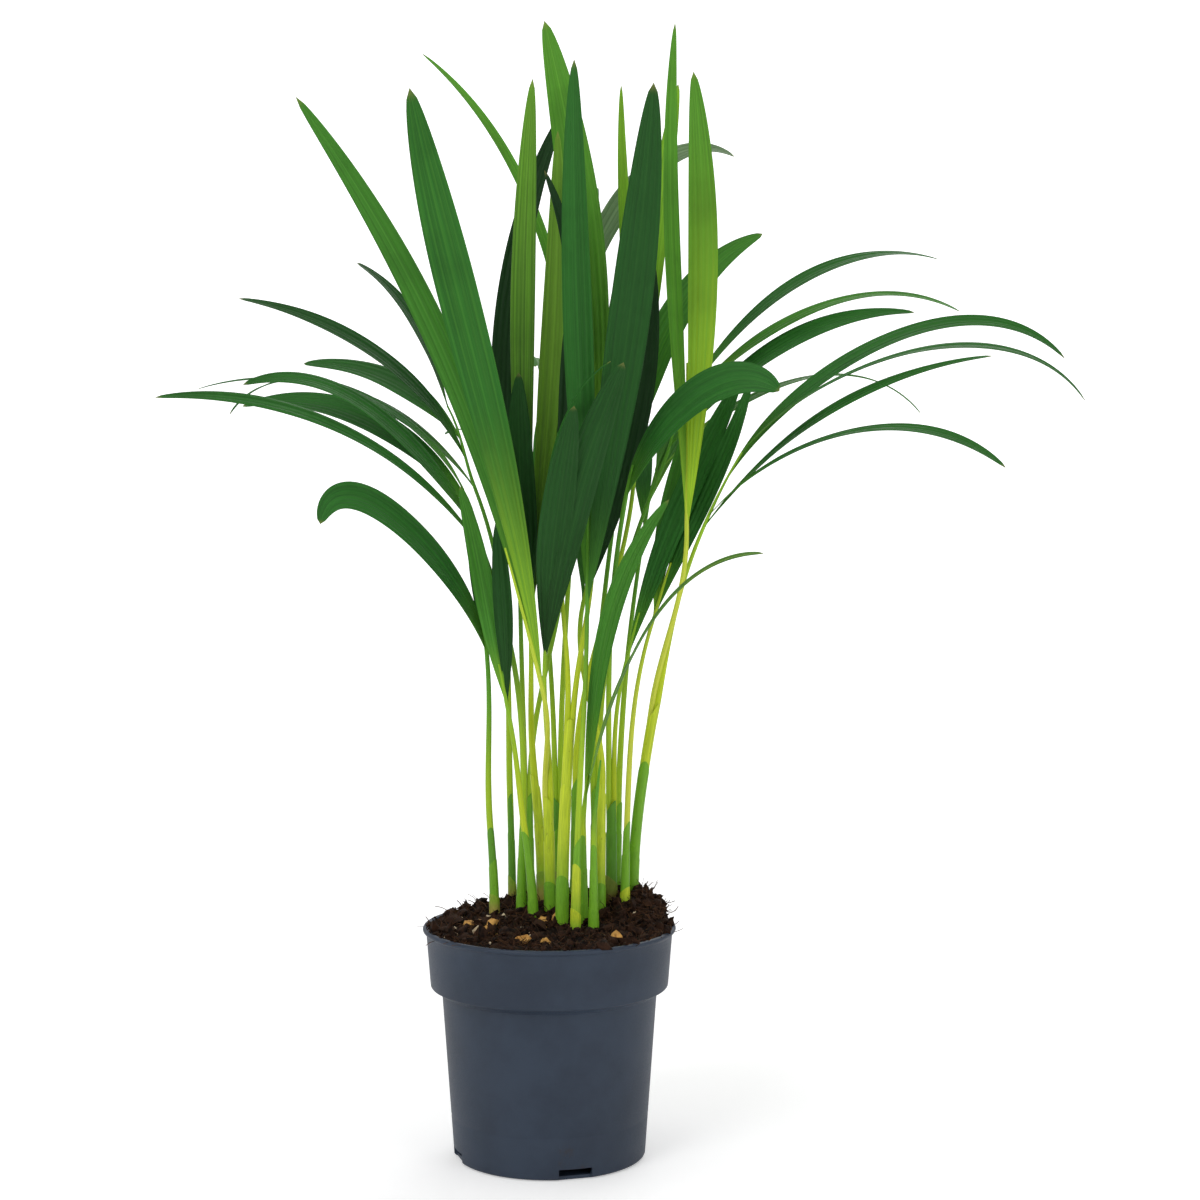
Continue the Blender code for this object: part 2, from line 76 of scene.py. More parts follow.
# %% [markdown]
# ## Tools used in every step
#
# Blender's operators act on what is selected, and the frame arrives selected. So each step
# first clears the selection. These few helpers do that, pick one object, open it in edit
# mode, apply its modifiers, and settle its place into its mesh.

# %% Selecting, editing and settling
def clear_selection():
    """Leave edit mode and select nothing."""
    if bpy.context.mode != "OBJECT":
        bpy.ops.object.mode_set(mode="OBJECT")
    bpy.ops.object.select_all(action="DESELECT")


def pick(thing):
    """Select one object and make it the active one."""
    clear_selection()
    thing.select_set(True)
    bpy.context.view_layer.objects.active = thing


def edit(thing, kind="VERT"):
    """Open an object in edit mode with nothing selected."""
    pick(thing)
    bpy.ops.object.mode_set(mode="EDIT")
    bpy.ops.mesh.select_mode(type=kind)
    bpy.ops.mesh.select_all(action="DESELECT")


def apply_modifiers(thing):
    """Turn all modifiers of an object into plain mesh."""
    pick(thing)
    for modifier in list(thing.modifiers):
        bpy.ops.object.modifier_apply(modifier=modifier.name)


def settle(thing):
    """Put an object's place, turn and scale into its mesh."""
    pick(thing)
    bpy.ops.object.transform_apply(location=True, rotation=True, scale=True)


def face_outwards(thing):
    """Make all faces of a closed mesh point out."""
    edit(thing)
    bpy.ops.mesh.select_all(action="SELECT")
    bpy.ops.mesh.normals_make_consistent(inside=False)
    clear_selection()


def join(pieces, name):
    """Make one object of several."""
    clear_selection()
    for piece in pieces:
        piece.select_set(True)
    bpy.context.view_layer.objects.active = pieces[0]
    if len(pieces) > 1:
        bpy.ops.object.join()
    pieces[0].name = name
    pieces[0].data.name = name
    return pieces[0]


def smooth(thing, angle=50):
    """Shade an object smooth, with edges sharper than the angle kept."""
    pick(thing)
    bpy.ops.object.shade_smooth_by_angle(angle=math.radians(angle))


def triangles(thing):
    """How many triangles a mesh has."""
    return sum(len(face.vertices) - 2 for face in thing.data.polygons)


def belongs(thing, slot, *nodes):
    """Hang a finished piece on the plant's root, so that it moves with the plant, and hide the plain nodes that it
    stands for.
    """
    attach(thing, "root")
    if nodes:
        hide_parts(*nodes)
    print(f"{thing.name}: {triangles(thing)} triangles")
    return thing

# %% [markdown]
# ## The camera
#
# The photo was taken from about a metre away with a long lens, a little above the middle of
# the plant, and looks down by four degrees: that much is read from how open the ellipse of
# the pot's rim is, and how much flatter the one at its foot.

# %% Camera
CAMERA_PLACE = (0.024, -1.150, 0.345)
CAMERA_LOOKS_DOWN = 4.0
LENS = 73.5
SENSOR = 36.0

clear_selection()
bpy.ops.object.camera_add(location=CAMERA_PLACE, rotation=(math.radians(90 - CAMERA_LOOKS_DOWN), 0, 0))
camera = bpy.context.object
camera.name = "photo_camera"
camera.data.lens = LENS
camera.data.sensor_width = SENSOR
bpy.context.scene.camera = camera
print("camera at", tuple(round(value, 3) for value in camera.location))

# %% [markdown]
# ## The studio
#
# A product photo like this is lit from all sides, so that no hard shadow falls. The floor is
# a wide pale disc whose edge sweeps up into a wall all round, so no horizon shows from any
# side. It starts as a circle and is extruded ring by ring along a quarter arc.

# %% Studio floor
FLOOR_RADIUS = 3.0
SWEEP_RADIUS = 1.4
WALL_TOP = 5.0
SWEEP_STEPS = 10

clear_selection()
bpy.ops.mesh.primitive_circle_add(vertices=96, radius=FLOOR_RADIUS, fill_type="NGON",
                                  location=(0, 0, -0.0004))
floor = bpy.context.object
floor.name = "studio_floor"
edit(floor, "EDGE")
bpy.ops.mesh.select_all(action="SELECT")
reach, height = FLOOR_RADIUS, 0.0
for step in range(1, SWEEP_STEPS + 2):
    turn = math.radians(90) * min(step, SWEEP_STEPS) / SWEEP_STEPS
    new_reach = FLOOR_RADIUS + SWEEP_RADIUS * math.sin(turn)
    new_height = SWEEP_RADIUS * (1 - math.cos(turn)) if step <= SWEEP_STEPS else WALL_TOP
    bpy.ops.mesh.extrude_edges_move(TRANSFORM_OT_translate={"value": (0, 0, new_height - height)})
    bpy.ops.transform.resize(value=(new_reach / reach, new_reach / reach, 1), center_override=(0, 0, 0))
    reach, height = new_reach, new_height
smooth(floor, 60)
settle(floor)
floor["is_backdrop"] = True
print("studio floor reaches", round(reach, 2), "m")

# %% Studio light
# Name, place, size, power: each soft light looks at the middle of the plant.
SOFT_LIGHTS = [
    ("key_light", (-1.3, -1.9, 1.7), 1.3, 19),
    ("fill_light", (1.7, -1.5, 0.9), 1.4, 6.5),
    ("back_light", (0.5, 1.7, 1.7), 1.6, 12),
    ("top_light", (-0.2, 0.1, 2.3), 1.4, 7.5),
]
PLANT_MIDDLE = Vector((0.02, 0.03, 0.3))

for light_name, place, size, power in SOFT_LIGHTS:
    clear_selection()
    look = PLANT_MIDDLE - Vector(place)
    bpy.ops.object.light_add(type="AREA", location=place, rotation=look.to_track_quat("-Z", "Y").to_euler())
    light = bpy.context.object
    light.name = light_name
    light.data.shape = "DISK"
    light.data.size = size
    light.data.energy = power

world = bpy.data.worlds.new("studio_air")
world.use_nodes = True
world.node_tree.nodes["Background"].inputs["Color"].default_value = (1.0, 1.0, 1.0, 1.0)
world.node_tree.nodes["Background"].inputs["Strength"].default_value = 0.3
bpy.context.scene.world = world
bpy.context.scene.view_settings.view_transform = "Standard"
print("lights:", len(SOFT_LIGHTS))

# %% [markdown]
# ## The plant's own lines
#
# Every stem, petiole, rib and leaflet of this palm follows one smooth line that leaves its
# root in one way and arrives at its tip in another. That is a cubic curve with two handles.
# The plain model was made by this rule, and the same rule and the same sizes are written
# again here, in millimetres and degrees, so that each fine piece lies where the plain one is.

# %% The rule for a line
def way(side, slope):
    """Unit vector that points to a side, at a slope above level."""
    side, slope = math.radians(side), math.radians(slope)
    level = math.cos(slope)
    return Vector((level * math.cos(side), level * math.sin(side), math.sin(slope)))


class Sweep:
    """A smooth line from one place to another, leaving and arriving in given ways."""

    def __init__(self, start, end, leave, arrive):
        handle = (end - start).length * 0.36
        self.points = (start, start + leave * handle, end - arrive * handle, end)

    def place(self, share):
        """The point a share of the way along."""
        a, b, c, d = self.points
        rest = 1 - share
        return (a * rest ** 3 + b * 3 * rest * rest * share
                + c * 3 * rest * share * share + d * share ** 3)

    def heading(self, share):
        """The unit direction of the line there."""
        a, b, c, d = self.points
        rest = 1 - share
        return ((b - a) * rest * rest + (c - b) * 2 * rest * share
                + (d - c) * share * share).normalized()


def mixed(first, last, share):
    """A value a share of the way from the first to the last."""
    return first + (last - first) * share


print("a test line is", round(Sweep(Vector(), way(0, 90), way(0, 90), way(0, 90)).place(0.5).z, 3), "up")

# %% Sizes of the pot, the soil, the stems and the fronds
# The pot, a 12 cm nursery pot with a straight band under its rim.
POT_HEIGHT = 110.0
RIM_RADIUS = 60.0
LIP_HEIGHT = 2.4
LIP_WIDTH = 2.6
BAND_TOP_RADIUS = 58.4
BAND_FOOT_RADIUS = 56.4
BAND_FOOT_Z = 82.0
SHOULDER_Z = 78.5
BODY_TOP_RADIUS = 51.0
FOOT_RADIUS = 45.6
FOOT_ROUND = 1.6
WALL = 1.2
FLOOR = 1.6

# Notches in the foot that let water out.
NOTCH_COUNT = 4
FIRST_NOTCH = -73.5
NOTCH_WIDTH = 16.0
NOTCH_TOP_Z = 5.2
NOTCH_DEPTH = 8.0
FLOOR_EDGE_DEPTH = 2.2

# The soil: its level at the edge, and its heaps as (x, y, height, spread in x, in y).
SOIL_LEVEL = 108.0
SOIL_HEAPS = [(12, 36, 9, 30, 22), (48, 22, 5, 14, 16)]
SEAT_DEPTH = 1.5
CLEARANCE = 0.3
BLADE_FOLD = 0.14
TIP_FULLNESS = 0.52
RACHIS_TIP_WIDTH = 0.9

# A stem: its foot in the pot, its height over the soil, the side that it leans to and how
# far, and its width at the foot and at the top.
Stem = namedtuple("Stem", "x y height side lean foot top")
# A rachis: the side that it points to, its reach and rise, and its slope at both ends.
Rachis = namedtuple("Rachis", "side reach rise lift dip")
# A leaflet: how far along the rachis it starts, the side that it points to, its reach and
# rise, its slope at the root and at the tip, its width, how far the blade is rolled about
# its own line, and how far along it is widest.
Leaf = namedtuple("Leaf", "at side reach rise lift dip width roll peak")
# A frond: its stem, how far its foot stands beside the stem's middle, where its blade
# starts, the petiole's width at its foot and at the blade, its rachis and its leaflets.
Frond = namedtuple("Frond", "stem beside start foot top rachis leaves")

STEMS = {
    1: Stem(-27, 22, 42, 180, 2, 4.6, 3.4),
    2: Stem(-19, 38, 54, 180, 1, 3.8, 3.0),
    3: Stem(-14, 21, 43, 20, 1, 4.6, 3.6),
    4: Stem(-8, 9, 42, 170, 4, 4.6, 3.4),
    5: Stem(-4, 33, 62, 190, 4, 5.4, 4.4),
    6: Stem(0, 15, 56, 200, 1, 5.2, 5.0),
    7: Stem(6, 0, 98, 15, 4, 5.6, 5.0),
    8: Stem(12.5, -9, 44, 0, 1, 4.6, 3.4),
    9: Stem(16, 3, 42, 260, 2, 4.6, 3.6),
    10: Stem(21, -6, 40, 0, 0, 4.6, 3.2),
    11: Stem(24, 13, 62, 0, 1, 5.0, 4.2),
    12: Stem(29.5, 22, 50, 0, 0, 5.2, 4.8),
    13: Stem(36, 15, 42, 0, 1, 4.4, 3.2),
    14: Stem(40, 28, 96, 345, 11, 4.8, 5.0),
    15: Stem(12, 33, 58, 90, 2, 5.0, 4.0),
    16: Stem(22, 42, 54, 90, 2, 5.0, 5.0),
    17: Stem(-11, 47, 52, 110, 2, 5.0, 5.0),
    18: Stem(3, 50, 48, 90, 2, 5.0, 5.0),
    19: Stem(32, 38, 46, 60, 2, 4.8, 4.0),
}

FRONDS = {
    # The front and the middle of the crown.
    "frond_tall_left": Frond(6, -1.3, (-3, -12, 224), 2.2, 2.2, Rachis(-160, 18, 66, 76, 74), [
        Leaf(0.0, -148, 68, 272, 82, 77, 18.5, 62, 0.68),
        Leaf(0.0, -176, 112, 272, 80, 54, 13, 80, 0.55),
    ]),
    "frond_front": Frond(6, 1.3, (-2, -2, 236), 2.2, 2.0, Rachis(-70, 6, 36, 84, 80), [
        Leaf(0.0, -61, 75, 138, 76, 48, 17.5, -20, 0.5),
        Leaf(0.0, -76, 60, 119, 80, 54, 15.5, 0, 0.5),
        Leaf(0.2, -42, 41, 132, 96, 25, 7, 40, 0.5),
    ]),
    "frond_centre_left": Frond(5, 0, (-9, 8, 252), 2.6, 2.0, Rachis(180, 2, 60, 88, 88), [
        Leaf(0.0, 8, 1.5, 256, 93, 86, 11.5, 78, 0.6),
        Leaf(0.0, 12, 13.5, 232, 85, 91, 12, 58, 0.55),
        Leaf(0.0, -120, 10, 119, 82, 92, 14, 20, 0.5),
    ]),
    "frond_centre_dark": Frond(8, 0, (18, -3, 262), 2.2, 2.0, Rachis(-80, 3, 56, 88, 88), [
        Leaf(0.0, -122, 11, 252, 88, 92, 14, 24, 0.5),
        Leaf(0.0, -48, 45, 238, 78, 84, 19, -45, 0.58),
    ]),
    "frond_centre_bright": Frond(7, 1.3, (21, 15, 292), 2.2, 2.0, Rachis(150, 2, 60, 90, 88), [
        Leaf(0.0, 150, 27, 246, 92, 74, 19, -60, 0.58),
        Leaf(0.0, 30, 20, 150, 86, 84, 12, 50, 0.6),
    ]),
    "frond_inner": Frond(7, -1.3, (5, 1, 290), 2.2, 1.6, Rachis(180, 1, 30, 90, 90), [
        Leaf(0.0, 172, 7, 175, 95, 66, 8, -80, 0.5),
        Leaf(0.0, 14, 8, 128, 86, 84, 8, 70, 0.6),
    ]),
    # The right side.
    "frond_tall_right": Frond(14, -1.3, (65, 8, 296), 2.2, 2.2, Rachis(90, 1, 80, 88, 88), [
        Leaf(0.0, 172, 6, 238, 88, 94, 7.5, -82, 0.55),
        Leaf(0.0, -30, 3, 215, 84, 97, 14, -60, 0.6),
    ]),
    "frond_feather_right": Frond(14, 1.3, (73, 12, 298), 2.2, 1.8, Rachis(-20, 19, 36, 66, 58), [
        Leaf(0.0, -18, 136, 80, 52, 6, 8.5, 30, 0.45),
        Leaf(0.15, -30, 148, 24, 46, -38, 10, 20, 0.5),
        Leaf(0.55, -1, 160, 60, 62, -46, 11.5, 32, 0.45),
        Leaf(1.0, -13, 158, 24, 50, -56, 9, 15, 0.4),
    ]),
    "frond_feather_far_right": Frond(16, 1.3, (54, 36, 326), 2.2, 1.8, Rachis(12, 12, 34, 66, 60), [
        Leaf(0.0, 26, 148, 27, 46, -45, 8, 10, 0.45),
        Leaf(0.3, 6, 120, 65, 50, -4, 13, 35, 0.5),
        Leaf(0.75, 10, 141, 51, 52, -26, 9, 22, 0.5),
        Leaf(1.0, 22, 138, 70, 56, -12, 10, 20, 0.5),
    ]),
    "frond_arching_right": Frond(12, -1.2, (36, 4, 312), 2.2, 2.2, Rachis(-30, 4, 16, 78, 72), [
        Leaf(0.0, -30, 80, 50, 72, -36, 22, 60, 0.5),
    ]),
    "frond_middle_right": Frond(12, 1.3, (37, 21, 235), 2.0, 1.8, Rachis(8, 6, 22, 74, 72), [
        Leaf(0.0, 6, 55, 135, 74, 64, 13, 60, 0.55),
    ]),
    "frond_narrow_right": Frond(13, 0, (50, 22, 255), 2.2, 1.8, Rachis(0, 8, 26, 72, 70), [
        Leaf(0.0, -2, 46, 113, 70, 74, 10, 60, 0.5),
        Leaf(0.0, 45, 26, 96, 82, 70, 10, 40, 0.5),
    ]),
    "frond_low_right": Frond(9, 0, (16.5, -1, 166), 2.8, 2.4, Rachis(-30, 2, 16, 82, 80), [
        Leaf(0.0, -8, 40, 146, 84, 52, 10, 70, 0.6),
        Leaf(0.0, -40, 104, 124, 76, 2, 10, 30, 0.45),
    ]),
    "frond_spear": Frond(10, 0, (22, -8, 168), 2.4, 1.8, Rachis(-40, 3, 22, 82, 80), []),
    "frond_back_pair": Frond(15, 0, (41, 36, 335), 2.2, 2.0, Rachis(90, 2, 50, 86, 86), [
        Leaf(0.0, 115, 16, 176, 88, 90, 6.5, -25, 0.4),
        Leaf(0.0, 50, 33, 178, 84, 76, 11, 38, 0.5),
    ]),
    "frond_dark_middle": Frond(11, 0, (16, 20, 262), 2.6, 2.2, Rachis(25, 8, 40, 76, 78), [
        Leaf(0.0, 14, 32, 172, 70, 92, 14, 70, 0.6),
        Leaf(0.0, 130, 18, 150, 88, 86, 13, -40, 0.6),
    ]),
    "frond_back_right": Frond(16, -1.3, (33, 46, 318), 2.4, 2.0, Rachis(40, 4, 24, 80, 78), [
        Leaf(0.0, 34, 88, 125, 78, 20, 16, 52, 0.38),
        Leaf(0.0, 58, 50, 84, 82, -12, 8, 30, 0.5),
    ]),
    # The left side.
    "frond_hooked_left": Frond(1, 0, (-30, 14, 238), 2.4, 2.2, Rachis(-140, 4, 20, 84, 76), [
        Leaf(0.0, -142, 92, 64, 75, -76, 19, -58, 0.42),
        Leaf(0.0, 176, 8, 58, 88, 80, 8, -70, 0.5),
    ]),
    "frond_feather_left": Frond(3, 0, (-31, 12, 286), 2.6, 2.0, Rachis(170, 10, 30, 70, 60), [
        Leaf(0.0, -158, 156, 73, 55, -6, 9, -40, 0.5),
        Leaf(0.3, -168, 110, 70, 58, -20, 13, -36, 0.45),
        Leaf(0.65, 172, 112, 50, 56, -14, 16, -38, 0.45),
        Leaf(1.0, 158, 127, 36, 62, -52, 8, -10, 0.4),
    ]),
    "frond_feather_far_left": Frond(2, 0, (-36, 30, 316), 2.4, 1.8, Rachis(165, 14, 40, 68, 60), [
        Leaf(0.0, 157, 155, 49, 52, -14, 9, -10, 0.4),
        Leaf(0.35, 178, 109, 77, 64, 10, 11, -32, 0.4),
        Leaf(0.6, 151, 92, 37, 48, -2, 13, -35, 0.45),
        Leaf(1.0, -156, 45, 67, 72, 30, 12, -40, 0.45),
    ]),
    "frond_low_left": Frond(4, 0, (-20, 4, 214), 2.4, 2.0, Rachis(-165, 4, 20, 78, 76), [
        Leaf(0.0, -172, 22, 104, 76, 74, 10, 70, 0.55),
        Leaf(0.0, -110, 12, 88, 88, 80, 9, 20, 0.55),
    ]),
    # The back.
    "frond_dark_left": Frond(17, -1.3, (-15, 36, 275), 2.2, 2.0, Rachis(120, 4, 40, 88, 86), [
        Leaf(0.0, 35, 25, 222, 101, 62, 13, 55, 0.5),
        Leaf(0.0, 120, 88, 116, 74, 0, 12, 0, 0.5),
    ]),
    "frond_arc_left": Frond(17, 1.3, (8, 58, 300), 2.2, 1.8, Rachis(110, 6, 36, 86, 80), [
        Leaf(0.0, 148, 87, 234, 99, 36, 6, -30, 0.5),
        Leaf(0.0, 100, 108, 78, 72, -22, 11, 0, 0.5),
    ]),
    "frond_arc_right": Frond(18, 1.3, (16, 64, 392), 2.2, 1.8, Rachis(60, 4, 30, 86, 80), [
        Leaf(0.0, 30, 88, 91, 98, -24, 13, 40, 0.5),
        Leaf(0.0, 88, 112, 74, 72, -25, 11, 0, 0.5),
    ]),
    "frond_feather_back": Frond(18, -1.3, (-6, 78, 290), 2.2, 1.8, Rachis(105, 16, 28, 70, 56), [
        Leaf(0.0, 128, 84, 52, 58, -20, 11, 0, 0.45),
        Leaf(0.4, 84, 80, 56, 60, -16, 11, 0, 0.45),
        Leaf(1.0, 108, 92, 34, 52, -34, 11, 0, 0.45),
    ]),
    "frond_feather_back_right": Frond(19, 0, (46, 62, 296), 2.4, 1.8, Rachis(65, 14, 28, 68, 54), [
        Leaf(0.0, 92, 84, 50, 58, -18, 11, 0, 0.45),
        Leaf(0.4, 52, 76, 52, 58, -14, 11, 0, 0.45),
        Leaf(1.0, 72, 88, 34, 50, -34, 10, 0, 0.45),
    ]),
}


def soil_height(x, y):
    """Height of the soil over the pot's underside, at a place in the pot."""
    height = SOIL_LEVEL
    for heap_x, heap_y, rise, spread_x, spread_y in SOIL_HEAPS:
        away = ((x - heap_x) / spread_x) ** 2 + ((y - heap_y) / spread_y) ** 2
        height += rise * math.exp(-0.5 * away)
    return height


def stem_line(stem):
    """The line of a stem, from its level foot in the soil to its top."""
    foot = Vector((stem.x, stem.y, soil_height(stem.x, stem.y) - SEAT_DEPTH + CLEARANCE))
    lean = way(stem.side, 0) * stem.lean
    top = Vector((stem.x, stem.y, soil_height(stem.x, stem.y) + stem.height)) + lean
    rise = Vector((0, 0, stem.height))
    return Sweep(foot, top, Vector((0, 0, 1)), (rise + lean * 1.5).normalized())


def frond_lines(frond):
    """The lines of a frond's petiole and of its rib."""
    stem = stem_line(STEMS[frond.stem])
    up = stem.heading(1.0)
    foot = stem.place(1.0) + up * CLEARANCE + Vector((frond.beside, 0, 0))
    start = Vector(frond.start)
    rachis = frond.rachis
    leave = way(rachis.side, rachis.lift)
    end = start + way(rachis.side, 0) * rachis.reach + Vector((0, 0, rachis.rise))
    return Sweep(foot, start, up, leave), Sweep(start, end, leave, way(rachis.side, rachis.dip))


print("stems:", len(STEMS), "fronds:", len(FRONDS),
      "leaflets:", sum(len(frond.leaves) for frond in FRONDS.values()))

# %% [markdown]
# ## Shader helpers
#
# A material here is a small tree of nodes. Writing it by hand would take a line for every
# socket, so a little class adds a node, fills or links its inputs, and returns its output.
# The effects that several materials share are node groups with named sockets. They are made
# once: a mottle that varies a colour, and streaks that run along a leaf or a stem.

# %% A pen for node trees
class Pen:
    """Adds nodes to a node tree and links them."""

    def __init__(self, tree):
        self.tree = tree
        self.count = 0

    def node(self, kind, inputs=(), **settings):
        """A node with its settings, and with values or links at its inputs."""
        made = self.tree.nodes.new(kind)
        made.location = (200 * (self.count % 8), -220 * (self.count // 8))
        self.count += 1
        for key, value in settings.items():
            setattr(made, key, value)
        for key, value in dict(inputs).items():
            if isinstance(value, bpy.types.NodeSocket):
                self.tree.links.new(value, made.inputs[key])
            else:
                made.inputs[key].default_value = value
        return made

    def math(self, operation, first, second=0.0, third=0.0):
        """A sum of values."""
        return self.node("ShaderNodeMath", {0: first, 1: second, 2: third}, operation=operation).outputs[0]

    def fit(self, value, low, high, new_low=0.0, new_high=1.0):
        """A value moved smoothly from one range to another, and kept inside it."""
        return self.node("ShaderNodeMapRange", {"Value": value, "From Min": low, "From Max": high,
                                                "To Min": new_low, "To Max": new_high},
                         interpolation_type="SMOOTHSTEP").outputs["Result"]

    def blend(self, share, first, second):
        """A colour between two."""
        made = self.node("ShaderNodeMix", {"Factor": share}, data_type="RGBA")
        for socket, value in ((made.inputs[6], first), (made.inputs[7], second)):
            if isinstance(value, bpy.types.NodeSocket):
                self.tree.links.new(value, socket)
            else:
                socket.default_value = value
        return made.outputs[2]

    def noise(self, vector, scale, detail=3.0, roughness=0.55):
        """A soft random value from 0 to 1."""
        return self.node("ShaderNodeTexNoise", {"Vector": vector, "Scale": scale, "Detail": detail,
                                                "Roughness": roughness}).outputs["Fac"]

    def stretched(self, vector, scale):
        """A vector whose axes are scaled unlike each other."""
        return self.node("ShaderNodeMapping", {"Vector": vector, "Scale": scale}).outputs["Vector"]


def colour(red, green, blue):
    """A colour as seen on a screen, from 0 to 255, in Blender's linear values."""
    def linear(part):
        part /= 255
        return part / 12.92 if part <= 0.04045 else ((part + 0.055) / 1.055) ** 2.4
    return (linear(red), linear(green), linear(blue), 1.0)


def new_group(name, inputs, outputs):
    """A shader node group with named sockets, its pen, and its input and output nodes."""
    tree = bpy.data.node_groups.new(name, "ShaderNodeTree")
    for socket_name, kind, value in inputs:
        socket = tree.interface.new_socket(socket_name, in_out="INPUT", socket_type=kind)
        socket.default_value = value
    for socket_name, kind in outputs:
        tree.interface.new_socket(socket_name, in_out="OUTPUT", socket_type=kind)
    pen = Pen(tree)
    return tree, pen, pen.node("NodeGroupInput").outputs, pen.node("NodeGroupOutput")


def new_material(name):
    """A material with a Principled shader, and a pen for its tree."""
    material = bpy.data.materials.new(name)
    material.use_nodes = True
    return material, Pen(material.node_tree), material.node_tree.nodes["Principled BSDF"]


OWN_PLACE = "own_place"
print("pen ready, leaf green is", tuple(round(part, 3) for part in colour(50, 115, 45)[:3]))

# %% Shared effects
VECTOR, FLOAT, COLOUR = "NodeSocketVector", "NodeSocketFloat", "NodeSocketColor"

mottle, pen, given, put = new_group(
    "mottle",
    [("Place", VECTOR, (0, 0, 0)), ("Scale", FLOAT, 40.0), ("Colour", COLOUR, (0.5, 0.5, 0.5, 1)),
     ("Other Colour", COLOUR, (0.2, 0.2, 0.2, 1)), ("Low", FLOAT, 0.4), ("High", FLOAT, 0.7)],
    [("Colour", COLOUR), ("Mask", FLOAT)])
patches = pen.noise(given["Place"], given["Scale"], 5.0, 0.6)
mask = pen.fit(patches, given["Low"], given["High"])
pen.tree.links.new(mask, put.inputs["Mask"])
pen.tree.links.new(pen.blend(mask, given["Colour"], given["Other Colour"]), put.inputs["Colour"])

streaks, pen, given, put = new_group(
    "lengthwise_streaks",
    [("Own Place", VECTOR, (0, 0, 0)), ("Across", FLOAT, 30.0), ("Along", FLOAT, 2.0)],
    [("Mask", FLOAT)])
scale = pen.node("ShaderNodeCombineXYZ", {"X": given["Across"], "Y": given["Across"], "Z": given["Along"]})
drawn = pen.node("ShaderNodeVectorMath", {0: given["Own Place"], 1: scale.outputs[0]}, operation="MULTIPLY")
lines = pen.noise(drawn.outputs[0], 1.0, 3.0, 0.7)
pen.tree.links.new(pen.fit(lines, 0.35, 0.65), put.inputs["Mask"])
print("shared effects:", [group.name for group in bpy.data.node_groups])

# %% [markdown]
# ## How a leaflet looks
#
# A palm leaflet is pleated: five to nine ridges run along it, a paler line on each, with
# finer veins between. Near its root most blades are yellower; on some the root is darker
# instead, which is painted shade. Its very tip is dry. These follow the blade and not the
# room, so each blade carries an attribute of its own: how far across it a point lies, from -1
# to 1, and how far along, from 0 to 1. The group below turns that into a colour, a roughness
# and a height.

# %% Leaf surface group
RIDGE_SHARE = 0.15
VEIN_SHARE = 0.2
BAND_SHARE = 0.6
PLEAT_DRIFT = 0.5


def streak_mask(pen, own_place, across, along):
    """The mask of the lengthwise streaks, with so many across and along."""
    made = pen.node("ShaderNodeGroup", node_tree=streaks)
    pen.tree.links.new(own_place, made.inputs["Own Place"])
    made.inputs["Across"].default_value = across
    made.inputs["Along"].default_value = along
    return made.outputs["Mask"]


leaf_surface, pen, given, put = new_group(
    "leaf_surface",
    [("Own Place", VECTOR, (0, 0, 0)), ("Place", VECTOR, (0, 0, 0)), ("Tint", COLOUR, (0.1, 0.3, 0.05, 1)),
     ("Rib Tint", COLOUR, (0.3, 0.5, 0.1, 1)), ("Root Tint And Shade", COLOUR, (0.4, 0.6, 0.1, 1)),
     ("Tip Tint", COLOUR, (0.3, 0.25, 0.1, 1)), ("Pleats", FLOAT, 6.0), ("Root Reach", FLOAT, 0.35),
     ("Middle Rib", FLOAT, 0.4)],
    [("Colour", COLOUR), ("Roughness", FLOAT), ("Height", FLOAT)])
split = pen.node("ShaderNodeSeparateXYZ", {0: given["Own Place"]})
across, along = split.outputs["X"], split.outputs["Z"]
drift = pen.noise(pen.stretched(given["Own Place"], (1.6, 1.0, 0.4)), 1.0, 1.0, 0.5)
uneven = pen.math("MULTIPLY_ADD", drift, PLEAT_DRIFT, across)
wave = pen.math("COSINE", pen.math("MULTIPLY", uneven, pen.math("MULTIPLY", given["Pleats"], math.pi)))
ridge = pen.math("POWER", pen.math("MULTIPLY_ADD", wave, 0.5, 0.5), 5.0)
fine = streak_mask(pen, given["Own Place"], 34.0, 3.0)
bands = streak_mask(pen, given["Own Place"], 4.5, 1.1)
middle = pen.fit(pen.math("ABSOLUTE", across), 0.0, 0.08, 1.0, 0.0)
patch = pen.noise(given["Place"], 28.0, 3.0, 0.5)
deeper = pen.blend(0.5, given["Tint"], (0.004, 0.020, 0.004, 1.0))
body = pen.blend(pen.math("MULTIPLY", bands, BAND_SHARE), given["Tint"], deeper)
# Towards the root the blade takes the root tint: its own yellow on most blades, and painted shade on the dark-rooted
# ones in the crown.
root_share = pen.fit(along, 0.0, given["Root Reach"], 0.9, 0.0)
streaky = pen.math("MULTIPLY_ADD", bands, 0.5, 0.6)
body = pen.blend(pen.math("MULTIPLY", root_share, streaky), body, given["Root Tint And Shade"])
rib_share = pen.math("MULTIPLY_ADD", ridge, RIDGE_SHARE, pen.math("MULTIPLY", fine, VEIN_SHARE))
rib_share = pen.math("MAXIMUM", rib_share, pen.math("MULTIPLY", middle, given["Middle Rib"]))
body = pen.blend(rib_share, body, given["Rib Tint"])
shaded = pen.blend(0.45, body, (0.004, 0.020, 0.004, 1.0))
body = pen.blend(pen.fit(patch, 0.5, 0.75, 0.0, 0.4), body, shaded)
dry = pen.fit(pen.math("ADD", along, pen.math("MULTIPLY", fine, 0.01)), 0.985, 1.005, 0.0, 0.5)
body = pen.blend(dry, body, given["Tip Tint"])
pen.tree.links.new(body, put.inputs["Colour"])
rough = pen.fit(patch, 0.3, 0.7, 0.42, 0.54)
pen.tree.links.new(pen.math("ADD", rough, pen.math("MULTIPLY", fine, 0.06)), put.inputs["Roughness"])
pen.tree.links.new(pen.math("MULTIPLY_ADD", ridge, 0.4, pen.math("MULTIPLY", fine, 0.6)), put.inputs["Height"])
